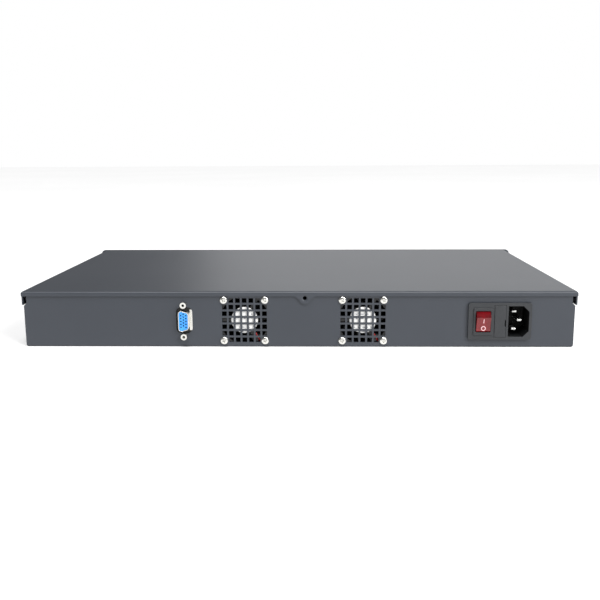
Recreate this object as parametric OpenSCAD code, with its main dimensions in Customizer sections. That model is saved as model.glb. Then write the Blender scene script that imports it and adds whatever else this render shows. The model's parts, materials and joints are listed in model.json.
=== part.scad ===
// 1U rackmount network appliance with rear fans, switched mains inlet and VGA port.
// Millimetres. +Z up, front plate towards -Y, rear panel towards +Y.
// Origin: middle of the underside of the base tray.

/* [Case] */
// Width of the base tray over its side walls
tray_w = 427; // [410:1:432]
// Depth of the base tray, front wall to rear panel
tray_d = 250; // [240:1:340]
// Height of the case, one rack unit
case_h = 44.4; // [43.5:0.1:60]
// Thickness of the tray's sheet steel
tray_t = 1.2; // [0.8:0.1:1.5]
// Thickness of the cover's sheet steel
cover_t = 1; // [0.8:0.1:1.2]
// Outside radius of the sheet bends
bend_r = 2; // [1.6:0.1:3]
// How far the cover's flanges stand out past the tray's side walls
cover_proud = 1.5; // [1.3:0.1:2.5]
// Height of the cover's side flanges
flange_h = 11; // [9:0.5:14]
// Height of the cover's rear lip
lip_h = 4.2; // [3.5:0.1:5]
// How far the top of each side wall steps inwards
joggle = 2.1; // [1.5:0.1:3]

/* [Cover screw tab] */
// Distance of the rear tab from the middle of the case
tab_x = -6; // [-60:1:20]
// Radius of the round end of the tab
tab_r = 4.5; // [4:0.1:5.5]
// Width of the tab where it leaves the lip
tab_w = 15.6; // [12:0.2:20]
// Radius of the hole in the tab
tab_hole_r = 1.7; // [1.6:0.05:2]
// Radius of the tab's countersink at the surface
tab_sink_r = 3.1; // [2.4:0.1:3.6]

/* [Front plate] */
// Width of the front plate
plate_w = 440; // [434:1:460]
// Thickness of the front plate
plate_t = 2.5; // [2:0.5:5]
// Radius of the front plate's corners
plate_r = 4; // [1:0.5:6]

/* [Fans] */
// Distance of the first fan from the middle of the case
fan_a_x = 41; // [36:1:60]
// Distance of the second fan from the middle of the case
fan_b_x = -51; // [-75:1:-10]
// Outside size of the square fan frames
fan_size = 40; // [33:1:41]
// Depth of the fan frames
fan_d = 20; // [15:1:28]
// Distance of the fan screws from the edges of the fan frames
fan_screw_inset = 4; // [3.8:0.1:4.5]
// Width of the bars between the square holes of the fan grilles
grille_bar = 1.5; // [1:0.1:2]
// Square holes along each side of a grille
grille_n = 7; // [7]
// Blades on each rotor
blade_n = 7; // [5:1:9]

/* [Mains inlet] */
// Distance of the inlet module from the middle of the case
inlet_x = -156; // [-175:1:-120]
// Width of the inlet module's flange
inlet_w = 48.4; // [47.5:0.1:52]
// Height of the inlet module's flange
inlet_h = 28.8; // [28:0.1:31]
// Thickness of the inlet module's flange
inlet_t = 2.4; // [2:0.1:3]
// Depth of the inlet module behind the rear panel
inlet_body_d = 27; // [25:1:32]
// Depth of the plug's cavity
cavity_d = 20; // [18:0.5:22]
// How far the contact blades stand below the mouth of the cavity
blade_recess = 5; // [4.6:0.1:6]
// Angle of the rocker each side of level
rocker_tilt = 13; // [8:1:14]
// How far the fuse drawer pulls out
fuse_travel = 15; // [12:1:17]

/* [Display port] */
// Distance of the display port from the middle of the case
vga_x = 88; // [75:1:150]
// Spacing of the port's two jackscrews
jack_pitch = 25; // [24.9:0.1:25.1]
// How far the port's shell stands out of the rear panel
shell_out = 4.8; // [3:0.1:6]

/* [Network ports] */
// Ports in each gang of network jacks
gang_ports = 4; // [2:1:4]
// Pitch of the ports in a gang
port_pitch = 14; // [13.6:0.1:14.5]
// Width of a port's plug opening
port_w = 11.8; // [11.6:0.1:12]
// Height of a port's plug opening
port_h = 8.4; // [8:0.1:8.6]
// Depth of a port's plug opening
port_d = 14; // [12:0.5:15]

/* [Ear holes] */
// Spacing of the rack ear holes along the case
ear_pitch_y = 25; // [20:1:35]
// Spacing of the rack ear holes up the side wall
ear_pitch_z = 16; // [12:1:18]
// Radius of the tapped rack ear holes
ear_hole_r = 1.65; // [1.4:0.05:2]

/* [Hidden] */
$fn = 48;
eps = 0.01;

// Clearances
slip = 0.2;        // sheet to sheet, and a piece in its window
thread_gap = 0.05; // screw thread in its hole
run_gap = 0.05;    // shaft in its bearing

// Case
rear_y = tray_d / 2;
front_y = -tray_d / 2;
floor_z = tray_t;
wall_x = tray_w / 2;
joggle_z = case_h - flange_h - 0.6;
tray_top_z = case_h - cover_t - slip;
cover_w = tray_w + 2 * cover_proud;
lip_y = rear_y + slip;
return_w = 9;
return_x = wall_x - joggle - 2 * tray_t;
mid_z = 21.3;      // height of the fans, port and inlet on the rear panel
cover_screw_y = [-90, 0, 90];
cover_screw_z = case_h - 5.6;
dimple_r = 4.2;
m3_r = 1.5;
tab_z = case_h - 5.5;
head_r = 3;
fan_pitch = fan_size - 2 * fan_screw_inset;
lip_z = max(case_h - lip_h, mid_z + fan_pitch / 2 + head_r + slip / 2);

// Side walls
ear_inset = 14;    // nearest ear holes, from the front wall
ear_z = 19;
vent_n = 12;
vent_pitch = 6;
vent_size = [2.5, 16];
vent_mid = [-8, 18];

// Rear panel cuts
vga_cut_w = 12.6;
vga_cut_h = 20.6;
inlet_cut_w = inlet_w - 1.4;
inlet_cut_h = inlet_h - 1.6;

// Front openings, from the middle of the case
board_top = 9.8;
gang_w = gang_ports * port_pitch + 3;
gang_x = [18, 82];
console_x = -32;
console_w = port_pitch + 2.2;
usb_x = -52;
usb_w = 15;
usb_h = 16;
jack_h = 13.6;
jack_d = 21.4;
jack_proud = 0.4;
jack_front = front_y - plate_t - jack_proud;
led_x = [-78, -84, -90];
led_z = board_top + 6;
led_r = 1.5;
reset_x = -69;
reset_r = 1.6;
reset_travel = 1;
io_window_x = [-96, 114];
io_window_z = [5, 28];

// Board
board_x = [-96, 114];
board_y = [front_y + 3, 48];
board_t = 1.6;
board_z = board_top - board_t;
standoff_xy = [[-90, -116], [-90, 42], [50, 42], [108, 42], [108, -98], [-90, -60]];
standoff_r = 3;

// Fan
grille_pitch = (fan_pitch - 0.8) / (grille_n - 1);
grille_hole = grille_pitch - grille_bar;
fan_y = rear_y - tray_t;
fan_wall = 0.9;
duct_r = fan_size / 2 - fan_wall;
motor_plate_t = 2;
hub_r = 10.3;
hub_gap = 0.5;
rotor_gap = 0.6;
shaft_r = 1;
strut_w = 2.4;
strut_angles = [0, 120, 240];
fan_hole_r = 1.65;
flange_t = 3.6;
corner_cut = (bend_r - tray_t + slip) * sqrt(2);   // clears the tray's inner bend
blade_t = 1;
blade_slant = 40;
lead_r = 0.7;
lead_x = -(fan_pitch / 2 - 3.1);   // the red lead where it leaves the frame
lead_z = -(fan_size / 2 - 1.6);

// Inlet module
cavity_w = 15.8;
cavity_h = 24;
cavity_cut = 4.4;
cavity_x = inlet_x - 14.3;
fuse_w = 8.7;
fuse_h = 24.8;
fuse_x = inlet_x - 0.2;
fuse_deep = fuse_travel + 5;
switch_w = 15;
switch_h = 21;
switch_x = inlet_x + 12.9;
window_w = 11.4;
window_h = 16.4;
rocker_w = 10.8;
rocker_pin_r = 1.1;
pivot_y = rear_y - 1.2;
module_z = mid_z - 0.4;

function arc(cx, cy, r, a0, a1, n = 6) =
    [for (i = [0:n]) let (a = a0 + (a1 - a0) * i / n) [cx + r * cos(a), cy + r * sin(a)]];

// Closed tube swept along points, with n sides.
function unit(v) = v / norm(v);
function along(p, i) = unit(p[min(i + 1, len(p) - 1)] - p[max(i - 1, 0)]);
module tube(p, r, n = 8) {
    up = [0.02, 0.03, 1];
    rings = [for (i = [0:len(p) - 1])
        let (t = along(p, i), s = unit(cross(up, t)), u = cross(t, s))
        for (k = [0:n - 1]) p[i] + r * (cos(360 * k / n) * s + sin(360 * k / n) * u)];
    last = (len(p) - 1) * n;
    sides = [for (i = [0:len(p) - 2]) for (k = [0:n - 1])
        [i * n + k, (i + 1) * n + k, (i + 1) * n + (k + 1) % n, i * n + (k + 1) % n]];
    polyhedron(rings, concat(sides, [[for (k = [0:n - 1]) k]],
        [[for (k = [n - 1:-1:0]) last + k]]), convexity = 6);
}

// Smooth route through hand-picked points, with m steps a span.
function bend(p, m = 5) = [for (i = [0:len(p) - 2]) for (k = [0:m - (i < len(p) - 2 ? 1 : 0)])
    let (a = p[max(i - 1, 0)], b = p[i], c = p[i + 1], d = p[min(i + 2, len(p) - 1)], t = k / m)
    0.5 * (2 * b + (c - a) * t + (2 * a - 5 * b + 4 * c - d) * t * t
        + (3 * b - a - 3 * c + d) * t * t * t)];

module box(x, y, z) {
    translate([x[0], y[0], z[0]]) cube([x[1] - x[0], y[1] - y[0], z[1] - z[0]]);
}
module block(at, size) { translate(at) cube(size, center = true); }
module along_y(y0, y1) {
    translate([0, y1, 0]) rotate([90, 0, 0]) linear_extrude(height = y1 - y0) children();
}
module along_x(x0, x1) {
    translate([x0, 0, 0]) rotate([90, 0, 90]) linear_extrude(height = x1 - x0) children();
}
module rod_y(x, z, y0, y1, r) {
    translate([x, y0, z]) rotate([-90, 0, 0]) cylinder(r = r, h = y1 - y0);
}
module cone_y(x, z, y0, y1, r0, r1) {
    translate([x, y0, z]) rotate([-90, 0, 0]) cylinder(r1 = r0, r2 = r1, h = y1 - y0);
}
module rod_z(x, y, z0, z1, r) { translate([x, y, z0]) cylinder(r = r, h = z1 - z0); }
module rounded(w, h, r) {
    polygon(concat(arc(w / 2 - r, h / 2 - r, r, 0, 90), arc(-w / 2 + r, h / 2 - r, r, 90, 180),
        arc(-w / 2 + r, -h / 2 + r, r, 180, 270), arc(w / 2 - r, -h / 2 + r, r, 270, 360)));
}

// ---- Sheet metal ----

// Cross-section of the tray: bent bottom corners, sides stepped in near the top.
module tray_section(inset, top) {
    w = wall_x - inset;
    r = bend_r - inset;
    z = joggle_z;
    polygon(concat(arc(w - r, inset + r, r, 270, 360), [[w, z], [w - joggle, z + joggle],
        [w - joggle, top], [-w + joggle, top], [-w + joggle, z + joggle], [-w, z]],
        arc(-w + r, inset + r, r, 180, 270)));
}
// Lengthways outline; its rear top corner is cut to lie under the cover's bend.
module tray_length(inset, top, cut) {
    d = tray_d / 2 - inset;
    r = bend_r - inset;
    polygon(concat(arc(d - r, inset + r, r, 270, 360), [[d, top - cut], [d - cut, top], [-d, top]],
        arc(-d + r, inset + r, r, 180, 270)));
}
module tray_block(inset, top, cut) {
    intersection() {
        along_y(front_y + inset, rear_y - inset) tray_section(inset, top);
        along_x(-wall_x, wall_x) tray_length(inset, top, cut);
    }
}
module grille(x) {
    mid = (grille_n - 1) / 2;
    for (i = [0:grille_n - 1], j = [0:grille_n - 1])
        if (!((i == 0 || i == grille_n - 1) && (j == 0 || j == grille_n - 1)))
            block([x + (i - mid) * grille_pitch, rear_y, mid_z + (j - mid) * grille_pitch],
                [grille_hole, 4 * tray_t, grille_hole]);
    for (sx = [-1, 1], sz = [-1, 1])
        rod_y(x + sx * fan_pitch / 2, mid_z + sz * fan_pitch / 2, rear_y - 2 * tray_t, rear_y + 1,
            fan_hole_r);
}
module rear_cuts() {
    grille(fan_a_x);
    grille(fan_b_x);
    translate([vga_x, 0, mid_z]) along_y(rear_y - 2 * tray_t, rear_y + 1)
        rounded(vga_cut_w, vga_cut_h, 4);
    for (s = [-1, 1])
        rod_y(vga_x, mid_z + s * jack_pitch / 2, rear_y - 2 * tray_t, rear_y + 1, 1.6);
    block([inlet_x, rear_y, module_z], [inlet_cut_w, 4 * tray_t, inlet_cut_h]);
    rod_y(tab_x, tab_z, rear_y - 2 * tray_t, rear_y + 1, m3_r);
}
module ear_holes() {
    for (sx = [-1, 1], j = [0, 1], k = [-0.5, 0.5])
        translate([sx * wall_x, front_y + ear_inset + j * ear_pitch_y, ear_z + k * ear_pitch_z])
            rotate([0, 90, 0]) cylinder(r = ear_hole_r, h = 6 * tray_t, center = true);
}
module side_vents() {
    for (sx = [-1, 1], i = [0:vent_n - 1])
        block([sx * wall_x, vent_mid[0] + (i - (vent_n - 1) / 2) * vent_pitch, vent_mid[1]],
            [6 * tray_t, vent_size[0], vent_size[1]]);
}
module base_tray() {
    color("#3b3f45") difference() {
        union() {
            difference() {
                tray_block(0, tray_top_z, bend_r - cover_t);
                tray_block(tray_t, tray_top_z + 1, eps);
            }
            for (s = [-1, 1])
                block([s * (wall_x - joggle - return_w / 2), 0, tray_top_z - tray_t / 2],
                    [return_w, tray_d - 2 * tray_t - bend_r, tray_t]);
            box([-return_x, return_x], [rear_y - return_w, rear_y - bend_r],
                [tray_top_z - tray_t, tray_top_z]);
            box([-return_x, return_x], [front_y + tray_t / 2, front_y + return_w],
                [tray_top_z - tray_t, tray_top_z]);
        }
        rear_cuts();
        ear_holes();
        side_vents();
        box(io_window_x, [front_y - 1, front_y + 2 * tray_t], io_window_z);
        for (x = plate_screw_x)
            rod_y(x, plate_screw_z, front_y - 1, front_y + 2 * tray_t, m3_r + slip);
        for (s = [-1, 1], y = cover_screw_y)
            translate([s * (wall_x - joggle), y, cover_screw_z]) rotate([0, 90, 0])
                cylinder(r = m3_r, h = 6 * tray_t, center = true);
    }
}

// Cover: top plate, bent side flanges and a short rear lip with its screw tab.
module cover_section(inset) {
    w = cover_w / 2 - inset;
    r = bend_r - inset;
    polygon(concat(arc(w - r, case_h - inset - r, r, 0, 90),
        arc(-w + r, case_h - inset - r, r, 90, 180),
        [[-w, case_h - flange_h], [w, case_h - flange_h]]));
}
module cover_length(inset, front) {
    d = lip_y + cover_t - inset;
    r = bend_r - inset;
    polygon(concat(arc(d - r, case_h - inset - r, r, 0, 90),
        [[front, case_h - inset], [front, case_h - flange_h - 1], [d, case_h - flange_h - 1]]));
}
module tab_shape() {
    translate([tab_x, 0]) polygon(concat(
        [[tab_w / 2, lip_z], [tab_w / 2, case_h - bend_r], [-tab_w / 2, case_h - bend_r],
            [-tab_w / 2, lip_z]],
        arc(0, tab_z, tab_r, 195, 345, 12)));
}
module dimple(s, y) {
    translate([s * (cover_w / 2 - cover_t + eps), y, cover_screw_z]) rotate([0, -90 * s, 0])
        cylinder(r1 = dimple_r, r2 = dimple_r - 1.2,
            h = cover_proud + joggle - cover_t - slip / 2 + eps);
}
module screw_sink(s, y) {
    translate([s * (cover_w / 2), y, cover_screw_z]) rotate([0, -90 * s, 0]) {
        translate([0, 0, -1]) cylinder(r = 3 + slip, h = 1 + 0.3 + eps);
        translate([0, 0, 0.3]) cylinder(r1 = 3 + slip, r2 = m3_r + slip, h = 1.7);
        cylinder(r = m3_r + slip, h = 8);
    }
}
module top_cover() {
    front = front_y + slip;
    color("#45494f") difference() {
        union() {
            difference() {
                intersection() {
                    along_y(front, lip_y + cover_t) cover_section(0);
                    along_x(-cover_w, cover_w) cover_length(0, front);
                }
                intersection() {
                    along_y(front - 1, lip_y + cover_t) cover_section_open();
                    along_x(-cover_w, cover_w) cover_length(cover_t, front - 1);
                }
                difference() {
                    box([-cover_w, cover_w], [rear_y, rear_y + 9], [0, lip_z]);
                    along_y(rear_y - 1, rear_y + 9) tab_shape();
                }
            }
            for (s = [-1, 1], y = cover_screw_y) dimple(s, y);
        }
        for (s = [-1, 1], y = cover_screw_y) screw_sink(s, y);
        rod_y(tab_x, tab_z, rear_y, rear_y + 5, tab_hole_r);
        cone_y(tab_x, tab_z, lip_y + cover_t - 0.6, lip_y + cover_t + eps, tab_hole_r, tab_sink_r);
    }
}
module cover_section_open() {
    w = cover_w / 2 - cover_t;
    r = bend_r - cover_t;
    polygon(concat(arc(w - r, case_h - cover_t - r, r, 0, 90),
        arc(-w + r, case_h - cover_t - r, r, 90, 180),
        [[-w, case_h - flange_h - 1], [w, case_h - flange_h - 1]]));
}

// Countersunk screws through the cover's dimples into the side walls.
module cover_screws() {
    color("#24262a") for (s = [-1, 1], y = cover_screw_y)
        translate([s * (cover_w / 2 - 0.3), y, cover_screw_z]) rotate([0, -90 * s, 0])
            difference() {
                union() {
                    cylinder(r1 = 3, r2 = m3_r - thread_gap, h = 1.7);
                    cylinder(r = m3_r - thread_gap, h = 6.5);
                }
                cross_recess(1.1, 1.2);
            }
}
// Cross-shaped driver recess, cut down into a head from z = 0.
module cross_recess(reach, deep) {
    translate([0, 0, deep / 2 - 0.1]) {
        cube([2 * reach, 0.55, deep + 0.2], center = true);
        cube([0.55, 2 * reach, deep + 0.2], center = true);
    }
}

// ---- Front plate ----
plate_screw_x = [-205, -120, 130, 205];
plate_screw_z = 30;
module port_windows() {
    for (x = gang_x) block([x, front_y - plate_t / 2, board_top + jack_h / 2],
        [gang_w + 2 * slip, plate_t + 2, jack_h + 2 * slip]);
    block([console_x, front_y - plate_t / 2, board_top + jack_h / 2],
        [console_w + 2 * slip, plate_t + 2, jack_h + 2 * slip]);
    block([usb_x, front_y - plate_t / 2, board_top + usb_h / 2],
        [usb_w + 2 * slip, plate_t + 2, usb_h + 2 * slip]);
}
module front_panel() {
    color("#3b3f45") difference() {
        translate([0, 0, case_h / 2 + 0.1]) along_y(front_y - plate_t, front_y)
            rounded(plate_w, case_h - 0.2, plate_r);
        port_windows();
        for (x = led_x) rod_y(x, led_z, front_y - plate_t - 1, front_y + 1, led_r + slip / 2);
        rod_y(reset_x, led_z, front_y - plate_t - 1, front_y + 1, reset_r + slip / 2);
        for (x = plate_screw_x) rod_y(x, plate_screw_z, front_y - plate_t + 0.8, front_y + 1, m3_r);
    }
}
// Pan-head screw from z = 0 downwards, its head above.
module pan_screw(length) {
    difference() {
        union() {
            cylinder(r1 = 2.8, r2 = 2.3, h = 1.8);
            translate([0, 0, -length]) cylinder(r = m3_r - thread_gap, h = length + eps);
        }
        translate([0, 0, 1.8]) mirror([0, 0, 1]) cross_recess(1.3, 1.1);
    }
}
// The screws of the front plate, main board, power supply and drive.
module pan_head_screws() {
    color("#c8c9cc") {
        for (x = plate_screw_x) translate([x, front_y + tray_t, plate_screw_z]) rotate([-90, 0, 0])
            pan_screw(tray_t + plate_t - 1);
        for (p = standoff_xy) translate([p[0], p[1], board_top]) pan_screw(board_t + 3.5);
        for (p = psu_posts) translate([p[0], p[1], psu_top]) pan_screw(board_t + 3.5);
        for (p = drive_holes) translate([p[0], p[1], drive_z]) mirror([0, 0, 1]) pan_screw(4);
    }
}

// ---- Fans: frame and struts against the rear panel, rotor on the inner side ----
module fan_frame(x) {
    y0 = fan_y - fan_d;
    color("#17181a") translate([x, 0, mid_z]) {
        difference() {
            union() {
                for (y = [y0, fan_y - flange_t])
                    along_y(y, y + flange_t) rounded(fan_size, fan_size, 2.5);
                intersection() {
                    rod_y(0, 0, y0 + 1, fan_y - 1, fan_size / 2 + 0.6);
                    block([0, fan_y - fan_d / 2, 0], [fan_size, fan_d, fan_size]);
                }
            }
            rod_y(0, 0, y0 - 1, fan_y + 1, duct_r);
            for (sx = [-1, 1], sz = [-1, 1])
                rod_y(sx * fan_pitch / 2, sz * fan_pitch / 2, y0 - 1, fan_y + 1, 2.15);
            translate([0, fan_y, -fan_size / 2]) rotate([45, 0, 0])
                cube([fan_size + 2, corner_cut, corner_cut], center = true);
            box([lead_x - 1.1, lead_x + 6.9], [fan_y - 5.2, fan_y + 1], [lead_z - 1, lead_z + 5.4]);
            box([lead_x - 0.9, lead_x + 2.5], [y0 - 1, y0 + flange_t + 1], [-fan_size, lead_z + 1]);
        }
        difference() {
            union() {
                rod_y(0, 0, fan_y - motor_plate_t, fan_y - 0.3, hub_r + 0.4);
                for (a = strut_angles) rotate([0, a, 0])
                    block([(hub_r + duct_r) / 2, fan_y - 1.2, 0], [duct_r - hub_r + 0.6, 1.8, strut_w]);
                rod_y(0, 0, y0 + 6, fan_y - motor_plate_t + eps, 2.6);
            }
            rod_y(0, 0, y0, fan_y - motor_plate_t, shaft_r + run_gap);
        }
    }
}
// Slanted blades between the hub and the inside of the duct.
module fan_blades(y0, y1) {
    intersection() {
        difference() {
            rod_y(0, 0, y0 + 2, y1 - 0.8, duct_r - rotor_gap);
            rod_y(0, 0, y0, y1, hub_r - 0.5);
        }
        for (i = [0:blade_n - 1]) rotate([0, 360 * i / blade_n, 0])
            translate([0, (y0 + y1) / 2, duct_r / 2 + 4]) rotate([0, 0, blade_slant])
                cube([blade_t, 2 * fan_d, duct_r], center = true);
    }
}
module fan_rotor(x) {
    y0 = fan_y - fan_d + 1;
    y1 = fan_y - motor_plate_t - hub_gap;
    color("#202124") translate([x, 0, mid_z]) {
        difference() {
            rod_y(0, 0, y0, y1, hub_r);
            rod_y(0, 0, y0 + 1.4, y1 + 1, hub_r - 1);
            rod_y(0, 0, y0 - 1, y1 + 1, shaft_r);
        }
        fan_blades(y0, y1);
    }
}
module fan_shaft(x) {
    color("#b9bcc0") rod_y(x, mid_z, fan_y - fan_d + 1, fan_y - motor_plate_t - 0.6, shaft_r);
}
// Laminated core with four wound arms on the bearing tube.
module fan_stator(x) {
    y0 = fan_y - fan_d + 8;
    y1 = fan_y - motor_plate_t;
    color("#b5673c") translate([x, 0, mid_z]) difference() {
        union() {
            rod_y(0, 0, y0 + 1, y1, 4.2);
            for (a = [45:90:315]) rotate([0, a, 0]) {
                block([5, (y0 + y1) / 2, 0], [5, y1 - y0 - 3, 3.6]);
                intersection() {
                    rod_y(0, 0, y0 + 2.5, y1 - 2.5, 8.4);
                    block([7.8, (y0 + y1) / 2, 0], [1.6, fan_d, 8]);
                }
            }
        }
        rod_y(0, 0, y0 - 1, y1 + 1, 2.6);
    }
}
module fan_label(x) {
    color("#f2f2f0") rod_y(x, mid_z, fan_y - 0.3, fan_y - 0.1, hub_r);
}
// Point at an angle and radius from the fan's axis, a depth behind the rear panel.
function spoke(a, r, depth) = [r * cos(a), -depth, r * sin(a)];
// Two leads, from the motor plate along the lower strut, out of the frame and up to the board.
module fan_leads(x) {
    out = [lead_x, 0, lead_z];
    inside = [[spoke(230, hub_r + 0.8, 1.2), spoke(232.4, (hub_r + duct_r) / 2, 1.2),
            spoke(233.8, duct_r - 1.1, 1.2), out + [0.6, -2, 1.2],
            out + [0, -5, 0.1], out + [0, -12, 0], out + [0, -fan_d, 0]],
        [spoke(250, hub_r + 0.8, 1.6), spoke(248.8, (hub_r + duct_r) / 2, 1.6),
            spoke(248, duct_r - 1.4, 1.6), out + [4.1, -2.6, 0.1],
            out + [1.7, -5, -0.2], out + [1.5, -12, -0.2], out + [1.5, -fan_d, -0.2]]];
    for (i = [0, 1]) {
        end = [x - header_out + (i ? 1 : -1), header_y, board_top + 5.1];
        route = concat([for (p = inside[i]) p + [x, fan_y, mid_z]],
            [[end[0] - 1 + i * 0.4, 84, 2.6], [end[0] - 0.6, 66, 4], [end[0], 53, 13],
                end + [0, 6, 5], end + [0, 0.6, 3.4], end]);
        color(i ? "#17181a" : "#b3201f") tube(bend(route, 3), lead_r, 6);
    }
}
// Pan-head screws, each through the rear panel and both flanges of the frame.
module fan_screws() {
    color("#d9dad6") for (x = [fan_a_x, fan_b_x], sx = [-1, 1], sz = [-1, 1])
        translate([x + sx * fan_pitch / 2, rear_y, mid_z + sz * fan_pitch / 2]) rotate([90, 0, 0])
            difference() {
                union() {
                    translate([0, 0, -1]) cylinder(r = head_r, h = 1);
                    translate([0, 0, -2]) cylinder(r1 = head_r - 0.9, r2 = head_r, h = 1);
                    translate([0, 0, -eps]) cylinder(r = m3_r, h = fan_d + tray_t + 3.2);
                }
                translate([0, 0, -2]) cross_recess(1.5, 1.3);
            }
}
module fan_nuts() {
    color("#c8c9cc") for (x = [fan_a_x, fan_b_x], sx = [-1, 1], sz = [-1, 1])
        translate([x + sx * fan_pitch / 2, fan_y - fan_d, mid_z + sz * fan_pitch / 2])
            rotate([90, 0, 0]) difference() {
                cylinder(r = 3.1, h = 2.4, $fn = 6);
                translate([0, 0, -1]) cylinder(r = m3_r + thread_gap, h = 5);
            }
}

// ---- Mains inlet module ----
// Plug cavity outline, long side upright, its two cut corners away from the fuse.
module cavity_outline(grow = 0) {
    w = cavity_w / 2 + grow;
    h = cavity_h / 2 + grow;
    c = cavity_cut + grow * 0.6;
    polygon([[w, h], [w, -h], [-w + c, -h], [-w, -h + c], [-w, h - c], [-w + c, h]]);
}
mouth_y = rear_y + inlet_t;
cavity_floor = mouth_y - cavity_d;
body_back = rear_y - inlet_body_d;
module inlet_housing() {
    color("#2c2e31") difference() {
        union() {
            translate([inlet_x, 0, module_z]) along_y(rear_y, mouth_y) rounded(inlet_w, inlet_h, 1.5);
            block([inlet_x, rear_y - inlet_body_d / 2, module_z],
                [inlet_cut_w - 2 * slip, inlet_body_d, inlet_cut_h - 2 * slip]);
        }
        translate([cavity_x, 0, module_z]) along_y(cavity_floor, mouth_y + 1) cavity_outline();
        box([fuse_x - fuse_w / 2 - 0.15, fuse_x + fuse_w / 2 + 0.15],
            [mouth_y - fuse_deep - 1, mouth_y + 1],
            [module_z - fuse_h / 2 - 0.15, module_z + fuse_h / 2 + 0.15]);
        box([switch_x - 6.6, switch_x + 6.6], [body_back - 1, mouth_y + 1],
            [module_z - 9.6, module_z + 9.6]);
        for (p = pin_xz) block([p[0], cavity_floor, p[1]], [4.02, 30, 2.02]);
    }
}
pin_xz = [[cavity_x + 2.6, module_z + 7], [cavity_x + 2.6, module_z - 7], [cavity_x - 1.6, module_z]];
module inlet_pins() {
    color("#c9cacb") for (p = pin_xz)
        box([p[0] - 2, p[0] + 2], [body_back - 7, mouth_y - blade_recess], [p[1] - 1, p[1] + 1]);
}
// Drawer with an upright fuse in a pocket that opens towards the switch.
fuse_r = 2.6;
fuse_half = 10;
fuse_y = mouth_y - 8;
module fuse_drawer() {
    color("#2c2e31") difference() {
        box([fuse_x - fuse_w / 2, fuse_x + fuse_w / 2], [mouth_y - fuse_deep, mouth_y + 0.3],
            [module_z - fuse_h / 2, module_z + fuse_h / 2]);
        rod_z(fuse_x, fuse_y, module_z - fuse_half - slip, module_z + fuse_half + slip, fuse_r + thread_gap);
        box([fuse_x, fuse_x + fuse_w], [fuse_y - fuse_r - thread_gap, fuse_y + fuse_r + thread_gap],
            [module_z - fuse_half - slip, module_z + fuse_half + slip]);
        box([fuse_x - fuse_w, fuse_x - fuse_w / 2 + 1], [mouth_y - 1.2, mouth_y + 1],
            [module_z - 4, module_z + 1]);
    }
}
module fuse_glass() {
    color("#dfe8ea") rod_z(fuse_x, fuse_y, module_z - fuse_half + 5, module_z + fuse_half - 5, fuse_r - 0.2);
}
module fuse_caps() {
    color("#c9cacb") for (s = [0, 1]) rod_z(fuse_x, fuse_y, module_z + (s ? fuse_half - 5 : -fuse_half),
        module_z + (s ? fuse_half : -fuse_half + 5), fuse_r);
}
// Rocker switch: snapped-in body with a square bezel, and the tilting button on its pin line.
bezel_t = 0.9;
module switch_body() {
    color("#222427") difference() {
        union() {
            translate([switch_x, 0, module_z]) along_y(mouth_y, mouth_y + bezel_t)
                rounded(switch_w, switch_h, 1);
            block([switch_x, (mouth_y + body_back) / 2 - 0.5, module_z],
                [12.9, mouth_y - body_back + 1, 18.9]);
        }
        block([switch_x, mouth_y, module_z], [window_w, 6, window_h]);
        box([switch_x - window_w / 2, switch_x + window_w / 2], [mouth_y - switch_deep, mouth_y],
            [module_z - window_h / 2 - 0.9, module_z + window_h / 2 + 0.9]);
        for (s = [-1, 1]) translate([switch_x + s * window_w / 2, pivot_y, module_z])
            rotate([0, 90, 0]) cylinder(r = rocker_pin_r + run_gap, h = 1.2, center = true);
        for (z = terminal_z) block([switch_x, body_back, z], [4.82, 12, 0.82]);
    }
}
switch_deep = 11;
rocker_r = 8.8;
rocker_corner = 39;   // angle of the face's two edges from level, about the pivot
rocker_face = 6.3;    // pivot line to the middle of the face
rocker_back = [3, 5.5];
lamp_r = 1.4;
terminal_z = [module_z - 6.5, module_z, module_z + 6.5];
module power_rocker() {
    color("#c01820") translate([switch_x, pivot_y, module_z]) rotate([-rocker_tilt, 0, 0]) {
        along_x(-rocker_w / 2, rocker_w / 2) rocker_outline();
        for (s = [-1, 1]) translate([s * rocker_w / 2, 0, 0]) rotate([0, 90, 0])
            cylinder(r = rocker_pin_r, h = 1, center = true);
    }
}
// Side view: round ends about the pivot, and a face with a shallow valley.
module rocker_outline() {
    polygon(concat(arc(0, 0, rocker_r, -rocker_corner, -90, 8),
        [[-rocker_back[0], -rocker_back[1]], [-rocker_back[0], rocker_back[1]]],
        arc(0, 0, rocker_r, 90, rocker_corner, 8), [[rocker_face, 0]]));
}
module switch_terminals() {
    color("#c9cacb") for (z = terminal_z)
        box([switch_x - 2.4, switch_x + 2.4], [body_back - 7.5, body_back + 5], [z - 0.4, z + 0.4]);
}
module rocker_lamp() {
    color("#e8a060") rod_z(switch_x, mouth_y - switch_deep + lamp_r, module_z - 4, module_z + 4, lamp_r);
}
psu_x = [-206, -128];
psu_y = [-100, 62];
psu_pin_y = psu_y[1] - 6;
mains_in_x = [-190, -183, -176];
mains_r = 1.1;
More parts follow.
